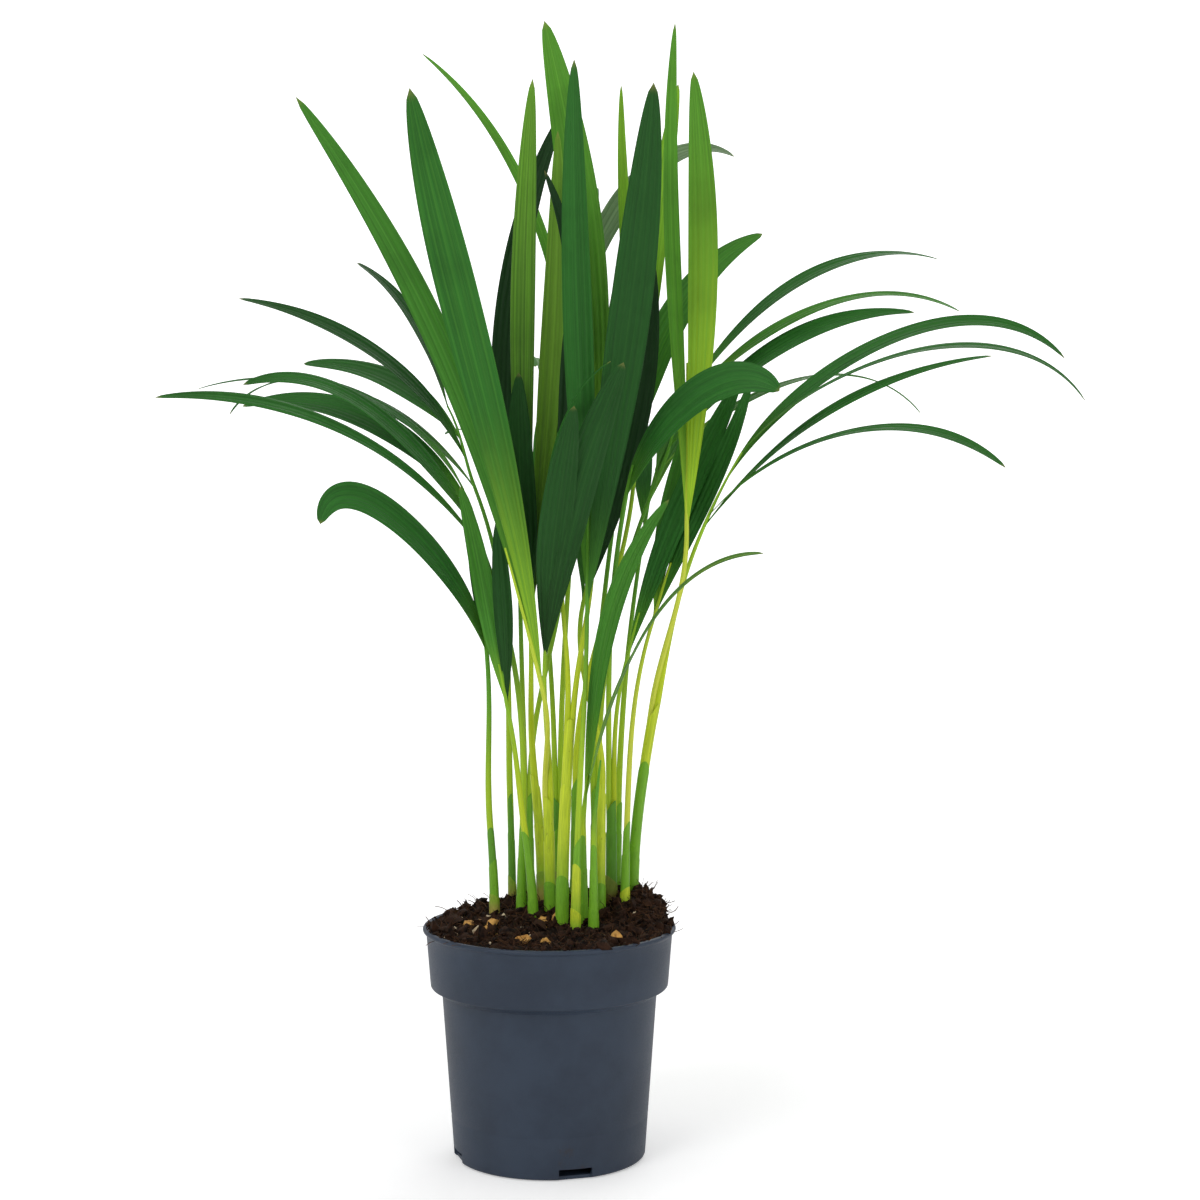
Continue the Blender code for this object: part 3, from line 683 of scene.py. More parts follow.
print("leaf surface puts out", [socket.name for socket in put.inputs if socket.name])

# %% Leaf materials
# Name: tint, tint of the ridges, tint at the root, how far the root's tint reaches, and how
# much paler the middle rib is. The root's tint is the root's own yellow on most blades, and
# painted shade on the dark-rooted night, heart and lit ones.
LEAF_TINTS = {
    # Dark all over: painted shade for blades deep in the crown.
    "leaf_night_painted_shade": ((18, 56, 18), (34, 78, 30), (22, 60, 18), 0.3, 0.3),
    # Dark, with a darker root: painted shade of the crown's heart.
    "leaf_heart_painted_shade": ((26, 78, 24), (50, 108, 40), (18, 52, 14), 0.7, 0.4),
    "leaf_deep": ((28, 80, 26), (50, 110, 40), (66, 126, 30), 0.25, 0.35),
    "leaf_dark": ((38, 104, 32), (66, 136, 50), (92, 154, 34), 0.3, 0.35),
    "leaf_mid": ((62, 130, 36), (98, 164, 56), (134, 188, 38), 0.35, 0.4),
    "leaf_bright": ((84, 154, 38), (120, 184, 58), (152, 196, 40), 0.4, 0.4),
    "leaf_glow": ((128, 188, 40), (162, 210, 62), (184, 216, 48), 0.5, 0.4),
    "leaf_long": ((42, 110, 34), (88, 156, 50), (158, 204, 42), 0.5, 0.35),
    # Painted light and shade: bright where the blade is lit, shading dark towards its root.
    "leaf_lit_tip_shaded_root": ((106, 168, 42), (140, 194, 66), (26, 70, 22), 1.3, 0.3),
    "leaf_olive": ((104, 154, 40), (132, 178, 58), (56, 98, 26), 0.6, 0.4),
    "leaf_right": ((84, 150, 38), (124, 184, 56), (184, 222, 40), 0.95, 0.3),
    "leaf_ribbed": ((38, 116, 34), (196, 220, 100), (104, 168, 36), 0.4, 1.0),
    "leaf_grey": ((104, 136, 92), (146, 172, 126), (118, 156, 80), 0.3, 0.4),
}
DRY_TIP = (150, 146, 78)
TYPICAL_PLEATS = 7.0
LEAF_SHINE = 0.2
LEAF_RELIEF = 0.3


def leaf_material(name, tint, rib_tint, root_tint_and_shade, root_reach, middle_rib):
    """The finish of a leaflet in one tint."""
    material, pen, shader = new_material(name)
    own = pen.node("ShaderNodeAttribute", attribute_name=OWN_PLACE).outputs["Vector"]
    place = pen.node("ShaderNodeTexCoord").outputs["Object"]
    skin = pen.node("ShaderNodeGroup", node_tree=leaf_surface)
    pen.tree.links.new(own, skin.inputs["Own Place"])
    pen.tree.links.new(place, skin.inputs["Place"])
    skin.inputs["Tint"].default_value = colour(*tint)
    skin.inputs["Rib Tint"].default_value = colour(*rib_tint)
    skin.inputs["Root Tint And Shade"].default_value = colour(*root_tint_and_shade)
    skin.inputs["Tip Tint"].default_value = colour(*DRY_TIP)
    skin.inputs["Pleats"].default_value = TYPICAL_PLEATS
    skin.inputs["Root Reach"].default_value = root_reach
    skin.inputs["Middle Rib"].default_value = middle_rib
    relief = pen.node("ShaderNodeBump", {"Height": skin.outputs["Height"], "Strength": LEAF_RELIEF,
                                         "Distance": 0.0003})
    shader.inputs["Specular IOR Level"].default_value = LEAF_SHINE
    pen.tree.links.new(skin.outputs["Colour"], shader.inputs["Base Color"])
    pen.tree.links.new(skin.outputs["Roughness"], shader.inputs["Roughness"])
    pen.tree.links.new(relief.outputs["Normal"], shader.inputs["Normal"])
    return material


leaf_materials = {name: leaf_material(name, *tints) for name, tints in LEAF_TINTS.items()}
print("leaf materials:", sorted(leaf_materials))

# %% [markdown]
# ## Leaflets
#
# A leaflet is a flat grid, bent along its line. A Curve modifier could bend it, but it
# couldn't roll the blade or pleat it on the way, so the grid is modelled once and the points
# of each copy are moved to their places. Then the copies of one frond are joined, and a
# Solidify modifier gives them the thickness of a leaf.

# %% The blade that all leaflets start from
BLADE_LINES_ACROSS = 32
BLADE_LINES_ALONG = 64


def store_own_place(thing, values):
    """Keep each point's place in the piece's own terms, for its material to read."""
    attribute = thing.data.attributes.new(OWN_PLACE, "FLOAT_VECTOR", "POINT")
    attribute.data.foreach_set("vector", np.asarray(values, np.float32).ravel())


clear_selection()
bpy.ops.mesh.primitive_grid_add(x_subdivisions=BLADE_LINES_ACROSS, y_subdivisions=BLADE_LINES_ALONG, size=1)
blade_start = bpy.context.object
blade_start.name = "blade_start"
edit(blade_start)
bpy.ops.mesh.select_all(action="SELECT")
bpy.ops.transform.resize(value=(2, 1, 1), center_override=(0, 0, 0))
bpy.ops.transform.translate(value=(0, 0.5, 0))
clear_selection()
store_own_place(blade_start, [(point.co.x, 0, point.co.y) for point in blade_start.data.vertices])
print("blade start:", len(blade_start.data.vertices), "points")

# %% Bending a blade along its line
PLEAT_WIDTH = 2.7
PLEAT_DEPTH = 0.06
SHEET_THICKNESS = 0.32
BLADE_NECK = 1.2
EDGE_RIPPLE = 0.35


def blade_share(share, peak):
    """The width of a blade as a share of its full width: narrow root, pointed tip."""
    if share < peak:
        return math.sin(math.pi / 2 * share / peak)
    return math.cos(math.pi / 2 * (share - peak) / (1 - peak)) ** TIP_FULLNESS


def bend_blade(thing, leaf, root, seed):
    """Move the points of a flat blade to where a leaflet has them."""
    side = way(leaf.side, 0)
    tip = root + side * leaf.reach + Vector((0, 0, leaf.rise))
    line = Sweep(root, tip, way(leaf.side, leaf.lift), way(leaf.side, leaf.dip))
    across_way = way(leaf.side + 90, 0)
    pleats = max(3, round(leaf.width / PLEAT_WIDTH))
    dice = random.Random(seed)
    phase = dice.uniform(0, 6.28)
    rings = {}
    for point in thing.data.vertices:
        across, share = point.co.x, min(max(point.co.y, 0.0), 1.0)
        key = round(share, 4)
        if key not in rings:
            along = line.heading(share)
            face = along.cross(across_way)
            roll = math.radians(leaf.roll)
            edge_way = across_way * math.cos(roll) + face * math.sin(roll)
            face_way = face * math.cos(roll) - across_way * math.sin(roll)
            neck = BLADE_NECK * min(1.0, (1 - share) * 12)
            half = max(neck, leaf.width * blade_share(share, leaf.peak)) / 2
            rings[key] = (line.place(share), edge_way, face_way, max(half, 0.03))
        middle, edge_way, face_way, half = rings[key]
        lift = half * BLADE_FOLD * abs(across)
        lift += 2 * half * PLEAT_DEPTH / pleats * math.cos(math.pi * pleats * across) * min(1, half / 3)
        lift += EDGE_RIPPLE * across * across * math.sin(phase + 9 * share + 2 * across) * min(1, half / 4)
        point.co = (middle + edge_way * half * across + face_way * lift) * MM


def give_own_streaks(thing, seed):
    """Keep a random number with each point of a blade, so that no two have the same streaks."""
    places = np.empty(3 * len(thing.data.vertices), np.float32)
    thing.data.attributes[OWN_PLACE].data.foreach_get("vector", places)
    places[1::3] = random.Random(seed).uniform(0, 9)
    thing.data.attributes[OWN_PLACE].data.foreach_set("vector", places)


def make_blades(name, frond, seed):
    """All leaflets of a frond as one thin mesh."""
    rachis = frond_lines(frond)[1]
    tints = LEAF_COLOURS[name]
    blades = []
    for number, leaf in enumerate(frond.leaves):
        blade = blade_start.copy()
        blade.data = blade_start.data.copy()
        bpy.context.scene.collection.objects.link(blade)
        bend_blade(blade, leaf, rachis.place(leaf.at), seed + number)
        give_own_streaks(blade, seed + number)
        blade.data.materials.clear()
        blade.data.materials.append(leaf_materials[tints[number % len(tints)]])
        blades.append(blade)
    sheet = join(blades, name.replace("frond_", "leaflets_"))
    solid = sheet.modifiers.new("thickness", "SOLIDIFY")
    solid.thickness = SHEET_THICKNESS * MM
    solid.offset = 0
    apply_modifiers(sheet)
    smooth(sheet, 60)
    return sheet


# The tint of each leaflet of a frond, in turn.
LEAF_COLOURS = {
    "frond_tall_left": ["leaf_long", "leaf_mid"],
    "frond_front": ["leaf_heart_painted_shade", "leaf_heart_painted_shade", "leaf_dark"],
    "frond_centre_left": ["leaf_lit_tip_shaded_root", "leaf_olive", "leaf_heart_painted_shade"],
    "frond_centre_dark": ["leaf_dark", "leaf_deep"],
    "frond_centre_bright": ["leaf_bright", "leaf_mid"],
    "frond_inner": ["leaf_night_painted_shade", "leaf_night_painted_shade"],
    "frond_tall_right": ["leaf_bright", "leaf_right"],
    "frond_feather_right": ["leaf_dark"],
    "frond_feather_far_right": ["leaf_mid", "leaf_dark"],
    "frond_arching_right": ["leaf_dark"],
    "frond_middle_right": ["leaf_dark"],
    "frond_narrow_right": ["leaf_dark", "leaf_mid"],
    "frond_low_right": ["leaf_mid", "leaf_ribbed"],
    "frond_spear": ["leaf_bright"],
    "frond_back_pair": ["leaf_glow", "leaf_glow"],
    "frond_dark_middle": ["leaf_night_painted_shade", "leaf_deep"],
    "frond_back_right": ["leaf_mid", "leaf_dark"],
    "frond_hooked_left": ["leaf_dark", "leaf_deep"],
    "frond_feather_left": ["leaf_dark"],
    "frond_feather_far_left": ["leaf_dark", "leaf_deep"],
    "frond_low_left": ["leaf_mid", "leaf_heart_painted_shade"],
    "frond_dark_left": ["leaf_night_painted_shade", "leaf_dark"],
    "frond_arc_left": ["leaf_bright", "leaf_mid"],
    "frond_arc_right": ["leaf_grey", "leaf_dark"],
    "frond_feather_back": ["leaf_dark", "leaf_mid"],
    "frond_feather_back_right": ["leaf_dark", "leaf_mid"],
}
print("tints for", len(LEAF_COLOURS), "fronds")

# %% [markdown]
# ## Petioles and ribs
#
# Under its leaflets a frond is one limb: a slim round petiole that carries on as the rib.
# Its start is a circle, extruded ring by ring. The petiole is yellow-green, paler towards
# the sheath, with fine lengthwise streaks and tiny brown flecks.

# %% The limb that all petioles and sheaths start from
LIMB_SIDES = 14
LIMB_SPANS = 40


def extruded_ring(name, sides, spans):
    """A closed tube of unit radius and height, extruded ring by ring from a circle."""
    clear_selection()
    bpy.ops.mesh.primitive_circle_add(vertices=sides, radius=1.0, fill_type="NGON")
    ring = bpy.context.object
    ring.name = name
    bpy.ops.object.mode_set(mode="EDIT")
    bpy.ops.mesh.select_mode(type="FACE")
    bpy.ops.mesh.select_all(action="SELECT")
    for _ in range(spans):
        bpy.ops.mesh.extrude_region_move(TRANSFORM_OT_translate={"value": (0, 0, 1 / spans)})
    clear_selection()
    face_outwards(ring)
    return ring


limb_start = extruded_ring("limb_start", LIMB_SIDES, LIMB_SPANS)
store_own_place(limb_start, [point.co for point in limb_start.data.vertices])
print("limb start:", len(limb_start.data.vertices), "points")

# %% Limb materials
limb_surface, pen, given, put = new_group(
    "limb_surface",
    [("Own Place", VECTOR, (0, 0, 0)), ("Place", VECTOR, (0, 0, 0)), ("Low Tint", COLOUR, (0.5, 0.6, 0.1, 1)),
     ("High Tint", COLOUR, (0.2, 0.4, 0.1, 1)), ("Fleck Tint", COLOUR, (0.1, 0.06, 0.03, 1)),
     ("Turn From", FLOAT, 0.2), ("Turn To", FLOAT, 0.8), ("Flecks", FLOAT, 0.6)],
    [("Colour", COLOUR), ("Roughness", FLOAT), ("Height", FLOAT)])
along = pen.node("ShaderNodeSeparateXYZ", {0: given["Own Place"]}).outputs["Z"]
body = pen.blend(pen.fit(along, given["Turn From"], given["Turn To"]), given["Low Tint"], given["High Tint"])
lines = streak_mask(pen, given["Own Place"], 5.0, 4.0)
darker = pen.blend(0.45, body, (0.06, 0.18, 0.01, 1.0))
body = pen.blend(pen.math("MULTIPLY", lines, 0.65), body, darker)
specks = pen.noise(pen.stretched(given["Place"], (1.0, 1.0, 0.45)), 900.0, 2.0, 0.6)
fleck = pen.math("MULTIPLY", pen.fit(specks, 0.69, 0.76), given["Flecks"])
body = pen.blend(fleck, body, given["Fleck Tint"])
pen.tree.links.new(body, put.inputs["Colour"])
pen.tree.links.new(pen.fit(lines, 0.0, 1.0, 0.36, 0.46), put.inputs["Roughness"])
pen.tree.links.new(lines, put.inputs["Height"])


def limb_material(name, low_tint, high_tint, turn_from, turn_to, flecks):
    """The finish of a petiole or a sheath, which changes tint along its length."""
    material, pen, shader = new_material(name)
    own = pen.node("ShaderNodeAttribute", attribute_name=OWN_PLACE).outputs["Vector"]
    place = pen.node("ShaderNodeTexCoord").outputs["Object"]
    skin = pen.node("ShaderNodeGroup", node_tree=limb_surface)
    pen.tree.links.new(own, skin.inputs["Own Place"])
    pen.tree.links.new(place, skin.inputs["Place"])
    skin.inputs["Low Tint"].default_value = colour(*low_tint)
    skin.inputs["High Tint"].default_value = colour(*high_tint)
    skin.inputs["Fleck Tint"].default_value = colour(92, 62, 34)
    skin.inputs["Turn From"].default_value = turn_from
    skin.inputs["Turn To"].default_value = turn_to
    skin.inputs["Flecks"].default_value = flecks
    shader.inputs["Specular IOR Level"].default_value = LIMB_SHINE
    relief = pen.node("ShaderNodeBump", {"Height": skin.outputs["Height"], "Strength": 0.3, "Distance": 0.0002})
    pen.tree.links.new(skin.outputs["Colour"], shader.inputs["Base Color"])
    pen.tree.links.new(skin.outputs["Roughness"], shader.inputs["Roughness"])
    pen.tree.links.new(relief.outputs["Normal"], shader.inputs["Normal"])
    return material


LIMB_SHINE = 0.3
LIMB_TINTS = {
    "petiole_lime": ((206, 224, 40), (148, 198, 40), 0.25, 0.85, 0.4),
    "petiole_green": ((178, 212, 44), (92, 160, 38), 0.2, 0.75, 0.35),
    "petiole_pale": ((222, 230, 78), (192, 220, 50), 0.3, 0.9, 0.2),
    "sheath_green": ((134, 194, 44), (124, 184, 42), 0.0, 0.6, 0.4),
    "sheath_dark": ((108, 168, 46), (100, 162, 44), 0.0, 0.6, 0.5),
    "sheath_lime": ((146, 196, 46), (208, 226, 50), 0.05, 0.8, 0.5),
    "sheath_brown": ((112, 80, 42), (136, 150, 60), 0.2, 0.6, 0.9),
    "sheath_tan": ((180, 164, 84), (150, 184, 56), 0.2, 0.8, 0.6),
}
limb_materials = {name: limb_material(name, *values) for name, values in LIMB_TINTS.items()}
print("limb materials:", sorted(limb_materials))

# %% Laying a limb along its line
RIB_OVALITY = 0.82
PETIOLE_SWELL = 1.35
PETIOLE_HIDDEN = 22.0


def lay_along(thing, place, heading, radius, ovality=1.0, slant=0.0, mouth=0.0):
    """Move the points of an upright tube on to a line, with a radius at each share of it.

    A slant cuts its top at an angle: one side, at the angle of the mouth, ends lower.
    """
    for point in thing.data.vertices:
        share = min(max(point.co.z, 0.0), 1.0)
        angle = math.atan2(point.co.y, point.co.x)
        out = math.hypot(point.co.x, point.co.y)
        share -= slant * (0.5 + 0.5 * math.cos(angle - mouth)) * share ** 4
        along = heading(share)
        front = Vector((0, -1, 0))
        front = (front - along * front.dot(along)).normalized()
        right = front.cross(along)
        wide = right * math.cos(angle) + front * math.sin(angle) * ovality
        point.co = (place(share) + wide * radius(share) * out) * MM


def copy_of(start, name):
    """A copy of a start, with its own mesh."""
    piece = start.copy()
    piece.data = start.data.copy()
    piece.name = name
    bpy.context.scene.collection.objects.link(piece)
    return piece


def make_limb(name, frond):
    """A frond's petiole and rib as one slim limb, with its foot hidden in the sheath."""
    petiole, rachis = frond_lines(frond)
    stem = stem_line(STEMS[frond.stem])
    lengths = [PETIOLE_HIDDEN, (petiole.points[3] - petiole.points[0]).length,
               (rachis.points[3] - rachis.points[0]).length]
    mouth = lengths[0] / sum(lengths)
    turn = (lengths[0] + lengths[1]) / sum(lengths)
    hidden_from = 1 - PETIOLE_HIDDEN / STEMS[frond.stem].height

    def place(share):
        if share < mouth:
            risen = share / mouth
            aside = Vector((frond.beside * mixed(0.5, 1, risen), 0, 0))
            return stem.place(mixed(hidden_from, 1, risen)) + aside
        if share < turn:
            return petiole.place((share - mouth) / (turn - mouth))
        return rachis.place((share - turn) / (1 - turn))

    def heading(share):
        if share < mouth:
            return stem.heading(mixed(hidden_from, 1, share / mouth))
        if share < turn:
            return petiole.heading((share - mouth) / (turn - mouth))
        return rachis.heading((share - turn) / (1 - turn))

    def radius(share):
        if share < turn:
            return mixed(frond.foot * PETIOLE_SWELL, frond.top, max(0, share - mouth) / (turn - mouth)) / 2
        return mixed(frond.top, RACHIS_TIP_WIDTH, (share - turn) / (1 - turn)) / 2

    limb = copy_of(limb_start, name.replace("frond_", "petiole_"))
    lay_along(limb, place, heading, radius, RIB_OVALITY)
    limb.data.materials.clear()
    limb.data.materials.append(limb_materials[PETIOLE_TINTS.get(name, "petiole_green")])
    smooth(limb, 60)
    return limb


# Petioles that aren't the usual green.
PETIOLE_TINTS = {
    "frond_tall_left": "petiole_pale",
    "frond_front": "petiole_lime",
    "frond_tall_right": "petiole_pale",
    "frond_feather_right": "petiole_lime",
    "frond_centre_bright": "petiole_lime",
    "frond_inner": "petiole_lime",
    "frond_centre_left": "petiole_lime",
    "frond_narrow_right": "petiole_pale",
    "frond_low_left": "petiole_lime",
    "frond_low_right": "petiole_lime",
    "frond_dark_middle": "petiole_lime",
    "frond_back_pair": "petiole_lime",
    "frond_middle_right": "petiole_lime",
}

for number, (name, frond) in enumerate(FRONDS.items()):
    belongs(make_limb(name, frond), "frond", name)
    if frond.leaves:
        belongs(make_blades(name, frond, 100 * number), "frond", name)

# %% [markdown]
# ## Stems in their sheaths
#
# What looks like a stem on so young a palm is a roll of leaf sheaths, one inside another.
# Each ends in a slanting mouth, out of which the younger ones and the petioles rise. The
# oldest, at the foot, is short and turns brown. So each stem is two or three tubes of the
# limb's start, each a little wider than the next, with a wall turned in at its mouth.

# %% The sheath that all stems start from
SHEATH_WALL_IN = 0.16
SHEATH_MOUTH_DEPTH = 0.05

sheath_start = extruded_ring("sheath_start", 20, 16)
edit(sheath_start, "FACE")
bpy.ops.object.mode_set(mode="OBJECT")
for face in sheath_start.data.polygons:
    face.select = face.normal.z > 0.9
bpy.ops.object.mode_set(mode="EDIT")
bpy.ops.mesh.inset(thickness=SHEATH_WALL_IN)
bpy.ops.mesh.extrude_region_move(TRANSFORM_OT_translate={"value": (0, 0, -SHEATH_MOUTH_DEPTH)})
clear_selection()
store_own_place(sheath_start, [point.co for point in sheath_start.data.vertices])
print("sheath start:", len(sheath_start.data.vertices), "points")

# %% Stems
# Layers of a stem: where each ends along it, how much wider it is, and the slant of its mouth.
SHEATH_LAYERS = [(0.26, 1.16, 0.35), (0.72, 1.07, 0.16), (1.0, 0.98, 0.12)]
# The tints of the layers, from the outermost in, of the stems that aren't the usual ones.
USUAL_SHEATHS = ("sheath_green", "sheath_green", "sheath_green")
OTHER_SHEATHS = {
    1: ("sheath_tan", "sheath_green", "sheath_dark"),
    2: ("sheath_tan", "sheath_dark", "sheath_dark"),
    5: ("sheath_tan", "sheath_lime", "sheath_lime"),
    6: ("sheath_green", "sheath_lime", "sheath_lime"),
    7: ("sheath_green", "sheath_lime", "sheath_lime"),
    8: ("sheath_lime", "sheath_lime", "sheath_green"),
    11: ("sheath_green", "sheath_lime", "sheath_lime"),
    12: ("sheath_brown", "sheath_dark", "sheath_dark"),
    13: ("sheath_lime", "sheath_green", "sheath_green"),
    14: ("sheath_green", "sheath_green", "sheath_lime"),
    16: ("sheath_brown", "sheath_dark", "sheath_green"),
    18: ("sheath_brown", "sheath_green", "sheath_dark"),
}

for number, stem in STEMS.items():
    line = stem_line(stem)
    dice = random.Random(40 + number)
    layers = []
    for (end, wider, slant), tint in zip(SHEATH_LAYERS, OTHER_SHEATHS.get(number, USUAL_SHEATHS)):
        end = end * dice.uniform(0.85, 1.1) if end < 1 else 1.0
        layer = copy_of(sheath_start, "sheath")
        lay_along(layer, lambda share: line.place(share * end), lambda share: line.heading(share * end),
                  lambda share: mixed(stem.foot, stem.top, share * end) / 2 * wider,
                  0.94, slant, math.radians(dice.uniform(-160, -20)))
        layer.data.materials.clear()
        layer.data.materials.append(limb_materials[tint])
        layers.append(layer)
    whole = join(layers, f"sheaths_{number:02d}")
    smooth(whole, 50)
    belongs(whole, "stem", f"stem_{number:02d}")

# %% [markdown]
# ## The pot
#
# A nursery pot is blown or moulded from a thin sheet: a tapering wall, a step, a straight
# band so that pots can be carried and stacked, and a rolled lip. It is turned here as on a
# wheel: a circle is extruded ring by ring, each ring moved to the next height and resized to
# the next radius, up the outside, over the lip and down the inside to the floor.

# %% Turning helper
def arc(middle_radius, middle_z, size, first, last, steps):
    """Points (radius, height) on an arc, between two angles in degrees."""
    points = []
    for step in range(steps + 1):
        turn = math.radians(mixed(first, last, step / steps))
        points.append((middle_radius + size * math.cos(turn), middle_z + size * math.sin(turn)))
    return points


def turn_up(name, sides, profile):
    """A turned solid: a circle extruded through a profile of (radius, height) in millimetres."""
    clear_selection()
    radius, height = profile[0]
    bpy.ops.mesh.primitive_circle_add(vertices=sides, radius=radius * MM, fill_type="NGON",
                                      location=(0, 0, height * MM))
    thing = bpy.context.object
    thing.name = name
    bpy.ops.object.mode_set(mode="EDIT")
    bpy.ops.mesh.select_mode(type="FACE")
    bpy.ops.mesh.select_all(action="SELECT")
    for next_radius, next_height in profile[1:]:
        bpy.ops.mesh.extrude_region_move(
            TRANSFORM_OT_translate={"value": (0, 0, (next_height - height) * MM)})
        ratio = next_radius / radius
        bpy.ops.transform.resize(value=(ratio, ratio, 1), center_override=(0, 0, next_height * MM))
        radius, height = next_radius, next_height
    clear_selection()
    settle(thing)
    face_outwards(thing)
    return thing


print("an arc of four steps has", len(arc(0, 0, 1, 0, 90, 4)), "points")

# %% Pot material
FOOT_LINE_Z = 0.020

pot_plastic, pen, shader = new_material("slate_plastic")
place = pen.node("ShaderNodeTexCoord").outputs["Object"]
height = pen.node("ShaderNodeSeparateXYZ", {0: place}).outputs["Z"]
tone = pen.node("ShaderNodeGroup", node_tree=mottle)
pen.tree.links.new(place, tone.inputs["Place"])
tone.inputs["Scale"].default_value = 22.0
tone.inputs["Colour"].default_value = colour(50, 61, 77)
tone.inputs["Other Colour"].default_value = colour(42, 52, 67)
shader.inputs["Specular IOR Level"].default_value = 0.3
tone.inputs["Low"].default_value = 0.35
tone.inputs["High"].default_value = 0.7
scratch = pen.noise(pen.stretched(place, (160.0, 160.0, 14.0)), 1.0, 4.0, 0.75)
scratch = pen.fit(scratch, 0.70, 0.80)
body = pen.blend(pen.math("MULTIPLY", scratch, 0.35), tone.outputs["Colour"], colour(118, 130, 146))
earth = pen.noise(place, 60.0, 6.0, 0.7)
low = pen.fit(height, 0.0, 0.05, 1.0, 0.0)
high = pen.fit(height, 0.092, 0.110, 0.0, 1.0)
earth = pen.math("MULTIPLY", pen.fit(earth, 0.62, 0.78), pen.math("MAXIMUM", low, high))
body = pen.blend(pen.math("MULTIPLY", earth, 0.6), body, colour(66, 52, 40))
grain = pen.noise(place, 1500.0, 2.0, 0.6)
rough = pen.fit(grain, 0.3, 0.7, 0.42, 0.52)
rough = pen.math("MULTIPLY_ADD", earth, 0.3, rough)
fine_relief = pen.node("ShaderNodeBump", {"Height": grain, "Strength": 0.12, "Distance": 0.0002})
pen.tree.links.new(body, shader.inputs["Base Color"])
pen.tree.links.new(rough, shader.inputs["Roughness"])
pen.tree.links.new(fine_relief.outputs["Normal"], shader.inputs["Normal"])
print("pot material ready")

# %% Pot
POT_SIDES = 144
LIP_BEAD = 1.15
GROOVE_Z, GROOVE_DEPTH = 20.0, 0.18


def wall_radius(z):
    """The outer radius of the tapering wall at a height."""
    return mixed(FOOT_RADIUS, BODY_TOP_RADIUS, (z - FOOT_ROUND) / (SHOULDER_Z - FOOT_ROUND))


def band_radius(z):
    """The outer radius of the band at a height."""
    return mixed(BAND_FOOT_RADIUS, BAND_TOP_RADIUS, (z - BAND_FOOT_Z) / (POT_HEIGHT - LIP_HEIGHT - BAND_FOOT_Z))


outer = [(FOOT_RADIUS - FOOT_ROUND - 1.0, 0.0)]
outer += arc(FOOT_RADIUS - FOOT_ROUND, FOOT_ROUND, FOOT_ROUND, -90, 0, 5)
outer += [(wall_radius(10), 10), (wall_radius(GROOVE_Z - 0.8), GROOVE_Z - 0.8)]
outer += [(wall_radius(GROOVE_Z) - GROOVE_DEPTH, GROOVE_Z), (wall_radius(GROOVE_Z + 0.8), GROOVE_Z + 0.8)]
outer += [(wall_radius(z), z) for z in (32, 44, 56, 68, 76)]
outer += arc(BODY_TOP_RADIUS + 1.5, SHOULDER_Z - 0.6, 1.5, 180, 115, 4)
outer += arc(BAND_FOOT_RADIUS - 1.0, BAND_FOOT_Z + 0.4, 1.0, -60, 0, 4)
outer += [(band_radius(z), z) for z in (86, 94, 102, 106.6)]
bead_z = POT_HEIGHT - LIP_BEAD
outer += arc(RIM_RADIUS - LIP_BEAD, bead_z, LIP_BEAD, -80, 100, 10)
inner_rim = RIM_RADIUS - LIP_WIDTH
inner = [(inner_rim, POT_HEIGHT - 0.2), (inner_rim - 0.15, POT_HEIGHT - 0.8)]
inner += [(band_radius(z) - WALL, z) for z in (106, 94, BAND_FOOT_Z + 1)]
inner += [(wall_radius(z) - WALL, z) for z in (SHOULDER_Z - 1, 56, 32, 8)]
inner += [(FOOT_RADIUS - WALL - FOOT_ROUND, FLOOR)]
pot = turn_up("nursery_pot", POT_SIDES, outer + inner)

notches = []
for number in range(NOTCH_COUNT):
    turn = math.radians(FIRST_NOTCH + 360 / NOTCH_COUNT * number)
    for depth, low, high in ((NOTCH_DEPTH, FLOOR, NOTCH_TOP_Z), (FLOOR_EDGE_DEPTH, -FLOOR, 2 * FLOOR)):
        clear_selection()
        middle = Vector((math.cos(turn), math.sin(turn), 0)) * FOOT_RADIUS + Vector((0, 0, (low + high) / 2))
        bpy.ops.mesh.primitive_cube_add(size=1, location=middle * MM, rotation=(0, 0, turn))
        notch = bpy.context.object
        notch.scale = Vector((2 * depth, NOTCH_WIDTH, high - low)) * MM
        settle(notch)
        edit(notch, "EDGE")
        bpy.ops.mesh.select_all(action="SELECT")
        bpy.ops.mesh.bevel(offset=0.5 * MM, segments=2)
        clear_selection()
        notches.append(notch)
for notch in notches:
    cut = pot.modifiers.new("notch", "BOOLEAN")
    cut.operation = "DIFFERENCE"
    cut.solver = "MANIFOLD"
    cut.object = notch
apply_modifiers(pot)
for notch in notches:
    bpy.data.objects.remove(notch)
pot.data.materials.clear()
pot.data.materials.append(pot_plastic)
smooth(pot, 38)
belongs(pot, "pot", "pot")

# %% [markdown]
# ## The soil
#
# Peat is never smooth: it is crumbs and fibres, with a few chips of light grit. The body of
# it is turned like the pot, with many rings over its top. Its points are then lifted to the
# heaps that the plain model has, and roughened with noise, which is quicker and freer than
# sculpting by hand. The crumbs, fibres and stones lie on top as separate small meshes.

